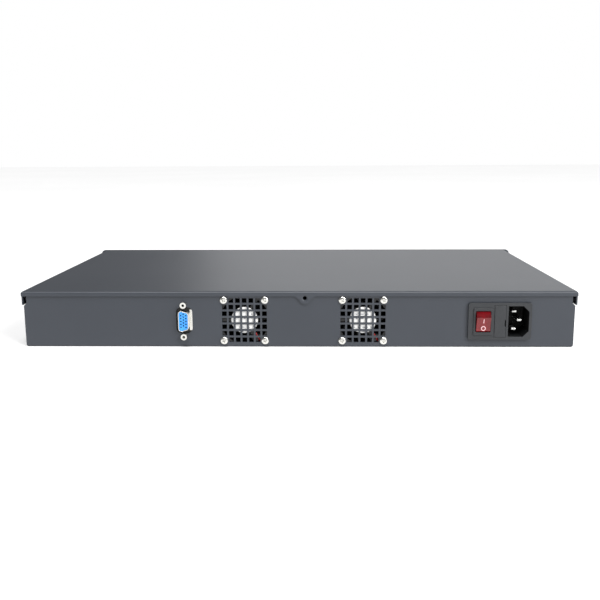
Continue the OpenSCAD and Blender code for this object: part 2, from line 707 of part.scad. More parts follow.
// Live from the inlet to the switch and on to the supply, then neutral and earth.
module mains_leads() {
    tab = body_back - 7.2;
    z = psu_top + 9.3;
    live = [[pin_xz[0][0], tab, pin_xz[0][1]], [switch_x, tab - 0.5, terminal_z[2]]];
    out = [[switch_x, tab - 0.5, terminal_z[1]], [mains_in_x[2], psu_pin_y, z]];
    neutral = [[pin_xz[1][0], tab, pin_xz[1][1]], [mains_in_x[1], psu_pin_y, z]];
    earth = [[pin_xz[2][0], tab, pin_xz[2][1]], [mains_in_x[0], psu_pin_y, z]];
    color("#5a3a22") {
        tube(bend([live[0], live[0] - [0, 4, -1], live[0] + [6, -9, 5], live[1] + [-6, -9, 5],
            live[1] - [0, 4, 0], live[1]], 4), mains_r);
        tube(bend([out[0], out[0] - [1, 6, 0], out[0] + [-12, -16, 2], out[1] + [4, 8, 8],
            out[1] + [0, 1, 6], out[1]], 4), mains_r);
        tube(bend([neutral[0], neutral[0] - [0, 5, 0], neutral[0] + [-6, -14, 4],
            neutral[1] + [0, 7, 7], neutral[1] + [0, 1, 5], neutral[1]], 4), mains_r);
        tube(bend([earth[0], earth[0] - [1, 5, 0], earth[0] + [-8, -14, 4],
            earth[1] + [0, 8, 8], earth[1] + [0, 1, 5], earth[1]], 4), mains_r);
    }
}

// ---- Display port ----
module dee(w, h, r, lean) {
    polygon(concat(arc(w / 2 - r, h / 2 - r, r, 0, 90), arc(-w / 2 + r, h / 2 - r - lean, r, 90 + 8, 180),
        arc(-w / 2 + r, -h / 2 + r + lean, r, 180, 262), arc(w / 2 - r, -h / 2 + r, r, 270, 360)));
}
shell_w = 8;
shell_h = 16.4;
shell_t = 0.5;
panel_in = rear_y - tray_t;
module vga_shell() {
    color("#d4d5d2") difference() {
        translate([vga_x, 0, mid_z]) {
            along_y(panel_in - 1, panel_in) rounded(12.4, 31, 1.5);
            along_y(panel_in - 0.5, rear_y + shell_out) dee(shell_w, shell_h, 2.4, 1);
        }
        translate([vga_x, 0, mid_z]) along_y(panel_in - 3, rear_y + 9)
            dee(shell_w - 2 * shell_t, shell_h - 2 * shell_t, 2, 1);
        for (s = [-1, 1]) rod_y(vga_x, mid_z + s * jack_pitch / 2, panel_in - 3, panel_in + 1, 1.5);
    }
}
vga_cols = [[-1.98, 0], [0, 1.14], [1.98, 0]];
vga_row = 2.29;
vga_sunk = 0.2;        // insulator below the rim of the shell
contact_sunk = 3.2;    // contacts below the rim of the shell
function vga_hole(c, i) = [vga_x + vga_cols[c][0], mid_z + (i - 2) * vga_row + vga_cols[c][1]];
module vga_insulator() {
    color("#2f8fe0") difference() {
        union() {
            translate([vga_x, 0, mid_z]) along_y(panel_in - 1, rear_y + shell_out - vga_sunk)
                dee(shell_w - 2 * shell_t - 0.1, shell_h - 2 * shell_t - 0.1, 2, 1);
            block([vga_x, panel_in - 4.5, mid_z], [10, 7, 18]);
        }
        for (c = [0:2], i = [0:4]) rod_y(vga_hole(c, i)[0], vga_hole(c, i)[1],
            rear_y - 3, rear_y + 9, 0.55);
    }
}
module vga_contacts() {
    color("#d8b14a") for (c = [0:2], i = [0:4]) difference() {
        rod_y(vga_hole(c, i)[0], vga_hole(c, i)[1], rear_y - 3, rear_y + shell_out - contact_sunk, 0.5);
        rod_y(vga_hole(c, i)[0], vga_hole(c, i)[1], rear_y - 1, rear_y + 9, 0.3);
    }
}
jack_hex_r = 2.75;
jack_len = 5;
jack_bore_r = 1.1;
module vga_jackscrews() {
    color("#dcdcd8") for (s = [-1, 1]) translate([0, 0, mid_z + s * jack_pitch / 2]) difference() {
        union() {
            translate([vga_x, rear_y, 0]) rotate([-90, 0, 0]) rotate([0, 0, 30])
                cylinder(r = jack_hex_r, h = jack_len, $fn = 6);
            rod_y(vga_x, 0, panel_in - 3, rear_y + eps, 1.4);
        }
        rod_y(vga_x, 0, rear_y + 0.4, rear_y + jack_len + 1, jack_bore_r);
    }
}
// Flat cable from the port's back, over the board, down to its header.
ribbon_t = 0.9;
ribbon_w = 17;
vga_header = [vga_x, 32];
module vga_ribbon() {
    y0 = panel_in - 8.1;
    z = mid_z;
    plug_top = board_top + 6.4;
    path = bend([[y0, z], [y0 - 8, z], [80, z + 5], [60, z + 4], [vga_header[1] + 3, plug_top + 5.1],
        [vga_header[1], plug_top + 0.1]], 4);
    side = [for (i = [0:len(path) - 1]) let (t = along(path, i)) [-t[1], t[0]] * ribbon_t / 2];
    color("#b9bcc0") {
        along_x(vga_x - ribbon_w / 2, vga_x + ribbon_w / 2) polygon(concat(
            [for (i = [0:len(path) - 1]) path[i] + side[i]],
            [for (i = [len(path) - 1:-1:0]) path[i] - side[i]]));
    }
    color("#202124") box([vga_x - 9.25, vga_x + 9.25], [vga_header[1] - 2.5, vga_header[1] + 2.5],
        [plug_top - 4.4, plug_top]);
}

// ---- Main board ----
module board_plate() {
    difference() {
        box(board_x, board_y, [board_z, board_top]);
        for (p = standoff_xy) rod_z(p[0], p[1], board_z - 1, board_top + 1, 1.7);
    }
}
module mainboard() { color("#1f5a3a") board_plate(); }
module board_standoffs() {
    color("#c9a24a") for (p = standoff_xy) difference() {
        rod_z(p[0], p[1], floor_z, board_z, standoff_r);
        rod_z(p[0], p[1], floor_z + 1, board_z + 1, m3_r + thread_gap);
    }
}
cpu_xy = [0, -34];
sink_size = 62;
sink_h = 24;
fin_n = 15;
chip_h = 2;
module cpu_heatsink() {
    z0 = board_top + chip_h;
    pitch = (sink_size - 1.2) / (fin_n - 1);
    color("#a9adb2") {
        block([cpu_xy[0], cpu_xy[1], z0 + 2.5], [sink_size, sink_size, 5]);
        for (i = [0:fin_n - 1])
            block([cpu_xy[0] - sink_size / 2 + 0.6 + i * pitch, cpu_xy[1], z0 + sink_h / 2],
                [1.2, sink_size, sink_h]);
    }
}
memory_xy = [72, -28];
// Side arms and slot of the memory module's socket.
module memory_socket() {
    difference() {
        union() {
            block([memory_xy[0], memory_xy[1] + 18, board_top + 3], [74, 7, 6]);
            for (s = [-1, 1]) block([memory_xy[0] + s * 35.6, memory_xy[1], board_top + 2.6], [2, 32, 5.2]);
        }
        block([memory_xy[0], memory_xy[1] + 2, board_top + 3.6], [67.8, 32, 1.2]);
    }
}
module memory_module() {
    z = board_top + 3.6;
    color("#1f5a3a") block([memory_xy[0], memory_xy[1] + 2, z], [67.6, 31, 1]);
    color("#26282b") for (i = [-1.5:1:1.5])
        block([memory_xy[0] + i * 15, memory_xy[1] - 2, z + 1], [11, 12, 1]);
}
module coin_cell() { color("#c9cacb") rod_z(-70, 20, board_top + 1.2, board_top + 4.4, 10); }
module board_chips() {
    color("#26282b") {
        block([cpu_xy[0], cpu_xy[1], board_top + chip_h / 2], [24, 24, chip_h]);
        block([-45, 5, board_top + 0.8], [27, 27, 1.6]);
        for (i = [0:7]) block([-10 + i * 15, -84, board_top + 0.6], [8, 8, 1.2]);
        difference() {
            rod_z(-70, 20, board_top, board_top + 3.4, 12);
            rod_z(-70, 20, board_top + 1.2, board_top + 5, 10.1);
        }
    }
}
module board_capacitors() {
    color("#3a4a9a") for (i = [0:5])
        rod_z(-52 + (i % 2) * 10, -80 + floor(i / 2) * 12, board_top, board_top + 11, 4);
    color("#3a4a9a") for (i = [0:2]) rod_z(40 + i * 11, 30, board_top, board_top + 9, 3.2);
}
atx_xy = [-86, -15];
header_out = 10;   // fan headers, sideways from the middle of each fan
header_y = 40;
data_xy = [100, 12];
module board_connectors() {
    color("#e6e3d8") {
        difference() {
            block([atx_xy[0], atx_xy[1], board_top + 6.5], [10, 42, 13]);
            block([atx_xy[0], atx_xy[1], board_top + 9], [8, 40, 9]);
        }
        for (x = [fan_a_x, fan_b_x])
            block([x - header_out, header_y, board_top + 2.5], [7.6, 6, 5]);
        block([vga_header[0], vga_header[1], board_top + 1], [20, 6, 2]);
        block([data_xy[0], data_xy[1], board_top + 4.2], [17, 6, 8.4]);
        memory_socket();
    }
}

// ---- Front jacks ----
shield_t = 0.3;
insert_gap = 0.05;
function port_x(g, i) = gang_x[g] + (i - (gang_ports - 1) / 2) * port_pitch;
port_xs = concat([for (g = [0, 1], i = [0:gang_ports - 1]) port_x(g, i)], [console_x]);
port_z = board_top + 5.6;
// Plug opening with the notch for the plug's latch below.
module port_cut() {
    for (x = port_xs) {
        box([x - port_w / 2, x + port_w / 2], [jack_front - 1, jack_front + port_d],
            [port_z - port_h / 2 + 1.2, port_z + port_h / 2 + 1.2]);
        box([x - 3.1, x + 3.1], [jack_front - 1, jack_front + 8],
            [port_z - port_h / 2 - 1.2, port_z]);
    }
}
module insert_block(x, w) {
    g = shield_t + insert_gap;
    box([x - w / 2 + g, x + w / 2 - g], [jack_front + 0.2, jack_front + jack_d - g],
        [board_top, board_top + jack_h - g]);
}
module lan_jacks() {
    color("#1b1c1e") difference() {
        union() {
            for (x = gang_x) insert_block(x, gang_w);
            insert_block(console_x, console_w);
        }
        port_cut();
    }
}
module shield(x, w) {
    difference() {
        box([x - w / 2, x + w / 2], [jack_front, jack_front + jack_d], [board_top, board_top + jack_h]);
        box([x - w / 2 + shield_t, x + w / 2 - shield_t], [jack_front - 1, jack_front + jack_d - shield_t],
            [board_top - 1, board_top + jack_h - shield_t]);
    }
}
module lan_shields() {
    color("#b9bcc0") {
        for (x = gang_x) shield(x, gang_w);
        shield(console_x, console_w);
    }
}
// Eight sprung wires in the roof of each port.
module jack_contacts() {
    top = port_z + port_h / 2 + 1.2;
    y1 = jack_front + port_d;
    color("#d8b14a") for (x = port_xs, i = [0:7])
        translate([x + (i - 3.5) * 1.02 - 0.2, 0, 0]) rotate([90, 0, 90]) linear_extrude(height = 0.4)
            polygon([[y1 - 8, top], [y1 - 8, top - 0.5], [y1 - 2.4, top - 2.3], [y1 - 2, top - 2],
                [y1 - 7, top - 0.4], [y1 - 7, top]]);
}
usb_front = jack_front;
usb_d = 17.5;
usb_cut_w = 13.1;
usb_cut_h = 5.7;
usb_z = [board_top + 4.4, board_top + 11.8];
module usb_shell() {
    color("#b9bcc0") difference() {
        block([usb_x, usb_front + usb_d / 2, board_top + usb_h / 2], [usb_w, usb_d, usb_h]);
        for (z = usb_z) block([usb_x, usb_front + usb_d / 2 - 2, z], [usb_cut_w, usb_d, usb_cut_h]);
    }
}
module usb_tongues() {
    color("#1b1c1e") for (z = usb_z)
        box([usb_x - 5.6, usb_x + 5.6], [usb_front + 2, usb_front + usb_d - 2], [z - 1.9, z - 0.1]);
}
module light_pipes() {
    color("#dff0e6") for (x = led_x) {
        rod_y(x, led_z, front_y - plate_t - 0.4, front_y + 6, led_r);
        box([x - led_r, x + led_r], [front_y + 3.2, front_y + 6], [board_top, led_z]);
    }
}
// Plunger with a collar that stops on the back of the front plate.
module reset_button() {
    color("#2c2e31") {
        rod_y(reset_x, led_z, front_y - plate_t - 0.2, front_y + 3, reset_r);
        rod_y(reset_x, led_z, front_y + 0.1, front_y + 1.1, reset_r + 0.9);
    }
}
module reset_switch() {
    color("#b9bcc0") box([reset_x - 3.5, reset_x + 3.5],
        [front_y + 3 + reset_travel + slip, front_y + 11], [board_top, board_top + 9]);
}

// ---- Power supply ----
module psu_bracket() {
    t = 1.2;
    color("#b9bcc0") difference() {
        union() {
            box(psu_x, psu_y, [floor_z, floor_z + t]);
            box([psu_x[0], psu_x[0] + t], psu_y, [floor_z, 33]);
            for (p = psu_posts) rod_z(p[0], p[1], floor_z + t - eps, psu_board_z, 2.8);
        }
        for (i = [0:8]) block([psu_x[0], psu_y[0] + 25 + i * 14, 20], [6, 5, 14]);
        for (p = psu_posts) rod_z(p[0], p[1], floor_z + t, psu_board_z + 1, m3_r);
    }
}
psu_board_z = 7;
psu_posts = [for (x = [psu_x[0] + 7, psu_x[1] - 5], y = [psu_y[0] + 6, psu_y[1] - 6]) [x, y]];
psu_top = psu_board_z + board_t;
dc_x = -151;
module psu_board() {
    color("#b08a3c") difference() {
        box([psu_x[0] + 2, psu_x[1]], [psu_y[0] + 1, psu_y[1] - 1], [psu_board_z, psu_top]);
        for (p = psu_posts) rod_z(p[0], p[1], psu_board_z - 1, psu_top + 1, m3_r + slip);
    }
}
module psu_connectors() {
    color("#e6e3d8") {
        block([-183, psu_pin_y - 1, psu_top + 4.6], [24, 9, 9.2]);
        block([dc_x, psu_y[0] + 8, psu_top + 5], [18, 9, 10]);
    }
}
module psu_transformer() {
    color("#d8c24a") difference() {
        block([-165, -20, psu_top + 12], [35, 30, 24]);
        for (s = [-1, 1]) block([-165 + s * 18, -20, psu_top + 12], [8, 14, 16]);
    }
    color("#b5673c") rod_z(-165, 38, psu_top, psu_top + 12, 9);
}
module psu_capacitors() {
    color("#23303f") {
        for (y = [8, -52]) rod_z(-142, y, psu_top, psu_top + 24, 8.5);
        for (i = [0:2]) rod_z(-195 + i * 13, -86, psu_top, psu_top + 18, 5);
    }
}
module psu_heatsinks() {
    color("#a9adb2") for (y = [-66, 15]) {
        box([-200, -156], [y, y + 3], [psu_top, psu_top + 24]);
        for (i = [0:4]) box([-200 + i * 10, -198 + i * 10], [y + 3 - eps, y + 10], [psu_top, psu_top + 24]);
    }
}

// ---- Drive ----
drive_x = [124, 200];
drive_y = [-70, 40];
drive_z = 8;
module drive_bracket() {
    t = 1.2;
    color("#b9bcc0") {
        difference() {
            box(drive_x, drive_y, [drive_z, drive_z + t]);
            block([162, -15, drive_z], [40, 70, 6]);
            for (p = drive_holes) rod_z(p[0], p[1], drive_z - 1, drive_z + 3, m3_r + slip);
        }
        for (s = [0, 1]) box([s ? drive_x[1] - t : drive_x[0], s ? drive_x[1] : drive_x[0] + t], drive_y,
            [floor_z, drive_z + eps]);
    }
}
drive_holes = [for (x = [131.1, 192.9], y = [-51.6, 25]) [x, y]];
ssd_z = drive_z + 1.2;
module solid_state_drive() {
    color("#3a3d42") difference() {
        box([127, 197], [-65, 35], [ssd_z, ssd_z + 7]);
        for (p = drive_holes) rod_z(p[0], p[1], ssd_z - 1, ssd_z + 3, m3_r + thread_gap);
    }
}
// Data and power cable of the drive.
module drive_cable() {
    end = [data_xy[0], data_xy[1], board_top + 8.5];
    color("#8f2326") tube(bend([[150, 35.2, ssd_z + 3.5], [150, 46, ssd_z + 4], [141, 58, 19],
        [118, 48, 26], end + [1, 12, 10], end + [0, 1, 7], end], 4), 1.6);
}
// Low-voltage leads from the supply to the board's power connector, and their plug.
harness_n = 4;
module dc_harness() {
    color("#c9a227") for (i = [0:harness_n - 1]) {
        start = [dc_x - 5 + i * 3.2, psu_y[0] + 8, psu_top + 10.2];
        end = [atx_xy[0], atx_xy[1] - 15 + i * 9, board_top + 13.3];
        tube(bend([start, start + [0, 0, 1], start + [1, 0, 5], [-124 + i * 2, psu_y[0] + 18 + i * 5, 26 - i],
            [-106, end[1] - 4, 27], end + [-2, 0, 4.4], end], 4), 1.1, 6);
    }
    color("#e6e3d8") block([atx_xy[0], atx_xy[1], board_top + 9], [7.6, 39.6, 8.4]);
}

base_tray();
top_cover();
front_panel();
cover_screws();
pan_head_screws();
fan_frame(fan_a_x);  // fan_a_frame
fan_rotor(fan_a_x);  // fan_a_rotor
fan_shaft(fan_a_x);  // fan_a_shaft
fan_stator(fan_a_x);  // fan_a_stator
fan_label(fan_a_x);  // fan_a_label
fan_leads(fan_a_x);  // fan_a_leads
fan_frame(fan_b_x);  // fan_b_frame
fan_rotor(fan_b_x);  // fan_b_rotor
fan_shaft(fan_b_x);  // fan_b_shaft
fan_stator(fan_b_x);  // fan_b_stator
fan_label(fan_b_x);  // fan_b_label
fan_leads(fan_b_x);  // fan_b_leads
fan_screws();
fan_nuts();
inlet_housing();
inlet_pins();
fuse_drawer();
fuse_glass();
fuse_caps();
switch_body();
power_rocker();
switch_terminals();
rocker_lamp();
mains_leads();
vga_shell();
vga_insulator();
vga_contacts();
vga_jackscrews();
vga_ribbon();
mainboard();
board_standoffs();
cpu_heatsink();
memory_module();
coin_cell();
board_chips();
board_capacitors();
board_connectors();
lan_jacks();
lan_shields();
jack_contacts();
usb_shell();
usb_tongues();
light_pipes();
reset_button();
reset_switch();
psu_bracket();
psu_board();
psu_connectors();
psu_transformer();
psu_capacitors();
psu_heatsinks();
drive_bracket();
solid_state_drive();
drive_cable();
dc_harness();
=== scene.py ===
"""Visual model of a 1U rackmount network appliance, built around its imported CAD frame.

Every size and place comes from the frame's nodes or from the settings below, in metres.
"""

import json
import math

import bmesh
import bpy
from mathutils import Matrix, Vector
from mathutils.bvhtree import BVHTree

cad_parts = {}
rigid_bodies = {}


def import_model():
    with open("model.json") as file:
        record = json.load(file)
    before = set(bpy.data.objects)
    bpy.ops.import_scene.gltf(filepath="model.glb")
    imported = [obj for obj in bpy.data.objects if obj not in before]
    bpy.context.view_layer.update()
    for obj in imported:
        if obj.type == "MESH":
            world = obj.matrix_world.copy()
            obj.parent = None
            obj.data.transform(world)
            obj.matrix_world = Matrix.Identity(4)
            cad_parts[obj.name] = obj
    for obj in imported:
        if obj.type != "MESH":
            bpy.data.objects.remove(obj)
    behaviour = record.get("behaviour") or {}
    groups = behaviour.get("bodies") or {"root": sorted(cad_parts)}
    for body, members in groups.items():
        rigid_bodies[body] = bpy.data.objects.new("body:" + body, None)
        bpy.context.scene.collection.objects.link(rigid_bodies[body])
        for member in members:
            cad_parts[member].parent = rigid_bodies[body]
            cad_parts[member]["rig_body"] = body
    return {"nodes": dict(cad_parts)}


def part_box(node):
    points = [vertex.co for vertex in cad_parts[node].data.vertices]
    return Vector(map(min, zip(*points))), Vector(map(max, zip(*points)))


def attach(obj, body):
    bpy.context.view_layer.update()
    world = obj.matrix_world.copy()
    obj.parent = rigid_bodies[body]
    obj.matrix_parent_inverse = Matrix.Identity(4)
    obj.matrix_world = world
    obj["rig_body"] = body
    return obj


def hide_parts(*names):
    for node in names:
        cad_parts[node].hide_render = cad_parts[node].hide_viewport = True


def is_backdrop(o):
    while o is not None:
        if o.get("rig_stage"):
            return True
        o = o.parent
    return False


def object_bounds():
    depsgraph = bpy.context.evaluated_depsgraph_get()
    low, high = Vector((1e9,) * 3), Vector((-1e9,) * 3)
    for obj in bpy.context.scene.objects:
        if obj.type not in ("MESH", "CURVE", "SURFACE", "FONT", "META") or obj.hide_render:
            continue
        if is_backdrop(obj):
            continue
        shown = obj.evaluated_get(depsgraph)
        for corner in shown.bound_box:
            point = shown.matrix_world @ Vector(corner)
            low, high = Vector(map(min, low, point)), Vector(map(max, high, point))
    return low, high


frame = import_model()
CAD_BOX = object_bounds()

bl_info = {
    "name": "Rackmount Network Appliance",
    "version": (1, 0, 0),
    "blender": (4, 5, 0),
    "location": "View3D > Sidebar > Appliance",
    "description": "Builds the visible pieces and finishes of a 1U network appliance",
    "category": "Add Mesh",
}

MM = 0.001
FULL_TURN = 2 * math.pi
UP_TO_REAR = Matrix.Rotation(-math.pi / 2, 4, "X")  # turns +Z to +Y
FLAT = math.radians(0.05)  # faces that differ by less lie in one plane
SHARP = math.radians(40)  # edges that turn by more are rounded
WELD = 0.001 * MM  # vertices that lie closer are one
THREAD_ROOT = 0.86  # a thread's inner radius as a share of its outer one
FLOOR_WIDTH = 12


# ---- Settings ----


class StudioSettings(bpy.types.PropertyGroup):
    """Camera and lights."""

    lens: bpy.props.FloatProperty(
        name="Lens", description="Focal length on a 36 mm sensor, in millimetres", default=47.62, min=20
    )
    distance: bpy.props.FloatProperty(
        name="Distance", description="Camera to the rear panel", default=0.602, unit="LENGTH"
    )
    height: bpy.props.FloatProperty(
        name="Height", description="Camera above the floor", default=0.1533, unit="LENGTH"
    )
    sideways: bpy.props.FloatProperty(
        name="Sideways", description="Camera to the right of the middle, seen from the front",
        default=-0.0187, unit="LENGTH",
    )
    yaw: bpy.props.FloatProperty(
        name="Yaw", description="Turn of the view to the side", default=math.radians(1.561), subtype="ANGLE"
    )
    pitch: bpy.props.FloatProperty(
        name="Pitch", description="How far the view looks down",
        default=math.radians(10.898), subtype="ANGLE",
    )
    roll: bpy.props.FloatProperty(
        name="Roll", description="Tilt of the picture", default=math.radians(-0.302), subtype="ANGLE"
    )
    floor: bpy.props.StringProperty(name="Floor", description="sRGB colour of the floor", default="#FAFAFA")
    sky: bpy.props.FloatProperty(
        name="Sky", description="Brightness of the even light from all round", default=0.22, min=0
    )
    overhead: bpy.props.FloatProperty(
        name="Overhead", description="Light from the ceiling over the rear, in watts per square metre",
        default=2.8, min=0,
    )
    key: bpy.props.FloatProperty(
        name="Key", description="Power of the soft box beside the camera, in watts", default=66, min=0
    )
    far_side: bpy.props.FloatProperty(
        name="Far side", description="Power of the soft box before the front plate, in watts",
        default=4.8, min=0,
    )


class CaseSettings(bpy.types.PropertyGroup):
    """Sheet metal."""

    paint: bpy.props.StringProperty(
        name="Powder coat", description="sRGB colour of the paint", default="#363A41"
    )
    paint_shade: bpy.props.StringProperty(
        name="Powder coat, shaded", description="sRGB colour of the paint's darker clouds",
        default="#34383F",
    )
    edge: bpy.props.FloatProperty(
        name="Edge", description="Rounding of the sheet's cut edges",
        default=0.15 * MM, min=0, unit="LENGTH",
    )


class ScrewSettings(bpy.types.PropertyGroup):
    """Screws, nuts and their recesses."""

    recess: bpy.props.FloatProperty(
        name="Recess", description="Reach of the cross recess from the middle",
        default=1.55 * MM, unit="LENGTH",
    )
    recess_depth: bpy.props.FloatProperty(
        name="Recess depth", description="Depth of the cross recess", default=1.5 * MM, unit="LENGTH"
    )
    thread_pitch: bpy.props.FloatProperty(
        name="Thread pitch", description="Distance between thread ridges", default=0.5 * MM, unit="LENGTH"
    )


class FanSettings(bpy.types.PropertyGroup):
    """Fans."""

    blades: bpy.props.IntProperty(
        name="Blades", description="Blades on each rotor", default=7, min=3, max=11
    )
    sweep: bpy.props.FloatProperty(
        name="Sweep", description="Turn of a blade from hub to tip",
        default=math.radians(16), subtype="ANGLE",
    )
    twist: bpy.props.FloatProperty(
        name="Twist", description="Turn of a blade along the air's way",
        default=math.radians(44), subtype="ANGLE",
    )
    label: bpy.props.StringProperty(name="Label", description="sRGB colour of the label", default="#FDFDFB")


class InletSettings(bpy.types.PropertyGroup):
    """Mains module."""

    plastic: bpy.props.StringProperty(
        name="Plastic", description="sRGB colour of the module", default="#2B2D30"
    )
    rocker: bpy.props.StringProperty(
        name="Rocker", description="sRGB colour of the rocker", default="#7C1218"
    )
    mark: bpy.props.StringProperty(
        name="Marks", description="sRGB colour of the on and off marks", default="#F3C9CC"
    )
    mark_width: bpy.props.FloatProperty(
        name="Mark width", description="Stroke of the on and off marks", default=0.5 * MM, unit="LENGTH"
    )


SETTINGS = {
    "studio": StudioSettings,
    "case": CaseSettings,
    "screws": ScrewSettings,
    "fans": FanSettings,
    "inlet": InletSettings,
}


def settings(group):
    """The settings of one group, kept on the scene."""
    return getattr(bpy.context.scene, "appliance_" + group)


# ---- Materials ----


def linear(hex_colour):
    """Linear RGBA of an sRGB hex colour."""
    channels = [int(hex_colour[i : i + 2], 16) / 255 for i in (1, 3, 5)]
    return [c / 12.92 if c <= 0.04045 else ((c + 0.055) / 1.055) ** 2.4 for c in channels] + [1.0]


def add(tree, kind, sockets=None, **options):
    """Adds a node; a socket's value is a number, a colour or another node's output."""
    node = tree.nodes.new(kind)
    for name, value in options.items():
        setattr(node, name, value)
    for name, value in (sockets or {}).items():
        if isinstance(value, bpy.types.NodeSocket):
            tree.links.new(value, node.inputs[name])
        else:
            node.inputs[name].default_value = value
    return node


class Finish:
    """A material with its shader, and the patterns that several finishes share."""

    def __init__(self, name, colour, roughness, metallic=0.0, **sockets):
        self.material = bpy.data.materials.new(name)
        self.material.use_nodes = True
        self.tree = self.material.node_tree
        self.shader = self.tree.nodes["Principled BSDF"]
        self.shader.inputs["Base Color"].default_value = linear(colour)
        self.shader.inputs["Roughness"].default_value = roughness
        self.shader.inputs["Metallic"].default_value = metallic
        for socket, value in sockets.items():
            self.shader.inputs[socket.replace("_", " ")].default_value = value
        self.place = add(self.tree, "ShaderNodeTexCoord").outputs["Object"]
        self.height = None

    def noise(self, size, detail=2.0, stretch=(1, 1, 1)):
        """Noise with features of about the given size, longer where stretch is smaller."""
        mapping = add(self.tree, "ShaderNodeMapping", {"Vector": self.place, "Scale": stretch})
        sockets = {"Vector": mapping.outputs["Vector"], "Scale": 1 / size, "Detail": detail}
        return add(self.tree, "ShaderNodeTexNoise", sockets).outputs["Fac"]

    def bands(self, direction, scale, **sockets):
        """Parallel waves that follow one axis."""
        sockets |= {"Vector": self.place, "Scale": scale}
        options = {"wave_type": "BANDS", "bands_direction": direction}
        return add(self.tree, "ShaderNodeTexWave", sockets, **options).outputs["Fac"]

    def steps(self, value, low, high, start=0.0, end=1.0):
        """A value's span from low to high, stretched to start and end."""
        sockets = {"Value": value, "From Min": low, "From Max": high, "To Min": start, "To Max": end}
        return add(self.tree, "ShaderNodeMapRange", sockets).outputs["Result"]

    def tones(self, factor, colours):
        """Base colour mixed of two tones."""
        mix = add(self.tree, "ShaderNodeMix", {"Factor": factor}, data_type="RGBA")
        for socket, colour in zip([s for s in mix.inputs if s.type == "RGBA"], colours):
            socket.default_value = linear(colour)
        result = next(s for s in mix.outputs if s.type == "RGBA")
        self.tree.links.new(result, self.shader.inputs["Base Color"])
        return self

    def clouds(self, colours, size):
        """Colour that drifts between two tones."""
        return self.tones(self.steps(self.noise(size, 3.0), 0.35, 0.65), colours)

    def gloss(self, low, high, size, stretch=(1, 1, 1)):
        """Roughness that drifts between two values."""
        result = self.steps(self.noise(size, 2.0, stretch), 0.3, 0.7, low, high)
        self.tree.links.new(result, self.shader.inputs["Roughness"])
        return self

    def bump(self, height, depth, strength=1.0):
        """Bump from a height output, on top of the bumps added before."""
        sockets = {"Height": height, "Distance": depth, "Strength": strength}
        if self.height is not None:
            sockets["Normal"] = self.height
        self.height = add(self.tree, "ShaderNodeBump", sockets).outputs["Normal"]
        self.tree.links.new(self.height, self.shader.inputs["Normal"])
        return self

    def grain(self, size, depth, strength=1.0, stretch=(1, 1, 1)):
        """Bump of fine noise."""
        return self.bump(self.noise(size, 2.0, stretch), depth, strength)


def powder_coated_steel():
    """Baked polyester powder: satin dark grey with a fine orange peel and soft clouds."""
    case = settings("case")
    finish = Finish("powder_coated_steel", case.paint, 0.42)
    finish.clouds((case.paint_shade, case.paint), 60 * MM)
    # the real grain is about 0.3 mm, and is drawn at 0.6 mm so that it shows
    return finish.grain(0.6 * MM, 0.05 * MM, 0.35).grain(5 * MM, 0.1 * MM, 0.12)


def bright_nickel():
    """Barrel-plated steel: bright and slightly hazy, with fine handling scratches."""
    finish = Finish("bright_nickel_plate", "#DEDDD8", 0.2, metallic=1.0)
    return finish.gloss(0.14, 0.3, 1.2 * MM).grain(0.5 * MM, 0.02 * MM, 0.25, stretch=(1, 6, 1))


def painted_shade_nickel():
    """The same plate where it lies behind the panel, in painted shade: a dark, hazy copy of the bright
    plate.
    """
    finish = Finish("painted_shade_nickel_plate", "#2C2B2A", 0.5, metallic=0.6)
    return finish.clouds(("#232221", "#353433"), 3 * MM)


def zinc_plate():
    """Clear-passivated zinc on sheet steel: pale, bluish, softly clouded."""
    finish = Finish("clear_zinc_plate", "#C3C7CC", 0.36, metallic=1.0)
    finish.clouds(("#AEB3BA", "#CDD1D4"), 14 * MM).gloss(0.3, 0.45, 6 * MM)
    return finish.grain(0.9 * MM, 0.03 * MM, 0.2, stretch=(1, 0.15, 1))


def black_oxide():
    """Oiled black oxide on screws: near black with a dull metal sheen at the edges."""
    finish = Finish("black_oxide_steel", "#1D1E20", 0.4, metallic=0.7)
    return finish.gloss(0.33, 0.5, 1.5 * MM).grain(0.4 * MM, 0.02 * MM, 0.3)


def tin_plate():
    """Bright tinned brass and steel of contacts and shields: pale, a little streaky."""
    finish = Finish("bright_tin_plate", "#D9D9D6", 0.26, metallic=1.0)
    finish.clouds(("#C6C7C4", "#E2E2DF"), 5 * MM).gloss(0.2, 0.36, 3 * MM)
    return finish.grain(0.5 * MM, 0.02 * MM, 0.2, stretch=(0.3, 1, 1))


def ground_steel():
    """Ground shaft steel: fine rings round the shaft and a clear highlight."""
    finish = Finish("ground_shaft_steel", "#C9CACC", 0.18, metallic=1.0)
    return finish.grain(0.3 * MM, 0.01 * MM, 0.4, stretch=(0.2, 4, 0.2))


def black_fan_plastic():
    """Glass-filled PBT fan moulding: black, satin, with a fine spark texture."""
    finish = Finish("black_pbt_moulding", "#121315", 0.42)
    return finish.clouds(("#0F1012", "#17181A"), 12 * MM).grain(0.5 * MM, 0.03 * MM, 0.4)


def inlet_nylon():
    """Moulded nylon of the mains module: dark grey, satin, with faint flow marks."""
    colour = settings("inlet").plastic
    finish = Finish("grey_nylon_moulding", colour, 0.42)
    finish.clouds(("#27292C", colour), 18 * MM).gloss(0.38, 0.5, 5 * MM)
    return finish.grain(0.45 * MM, 0.03 * MM, 0.3)


def painted_shade_cavity():
    """Painted shade in the recess round the inlet's pins: near black and matte, where little light gets in.
    """
    finish = Finish("painted_shade_inlet_cavity", "#0B0C0D", 0.6, Specular_IOR_Level=0.25)
    return finish.grain(0.5 * MM, 0.03 * MM, 0.3)


def black_nylon():
    """Moulded black nylon of the jacks: even, satin, finely grained."""
    finish = Finish("black_nylon_moulding", "#17181A", 0.46)
    return finish.gloss(0.4, 0.54, 4 * MM).grain(0.4 * MM, 0.03 * MM, 0.3)


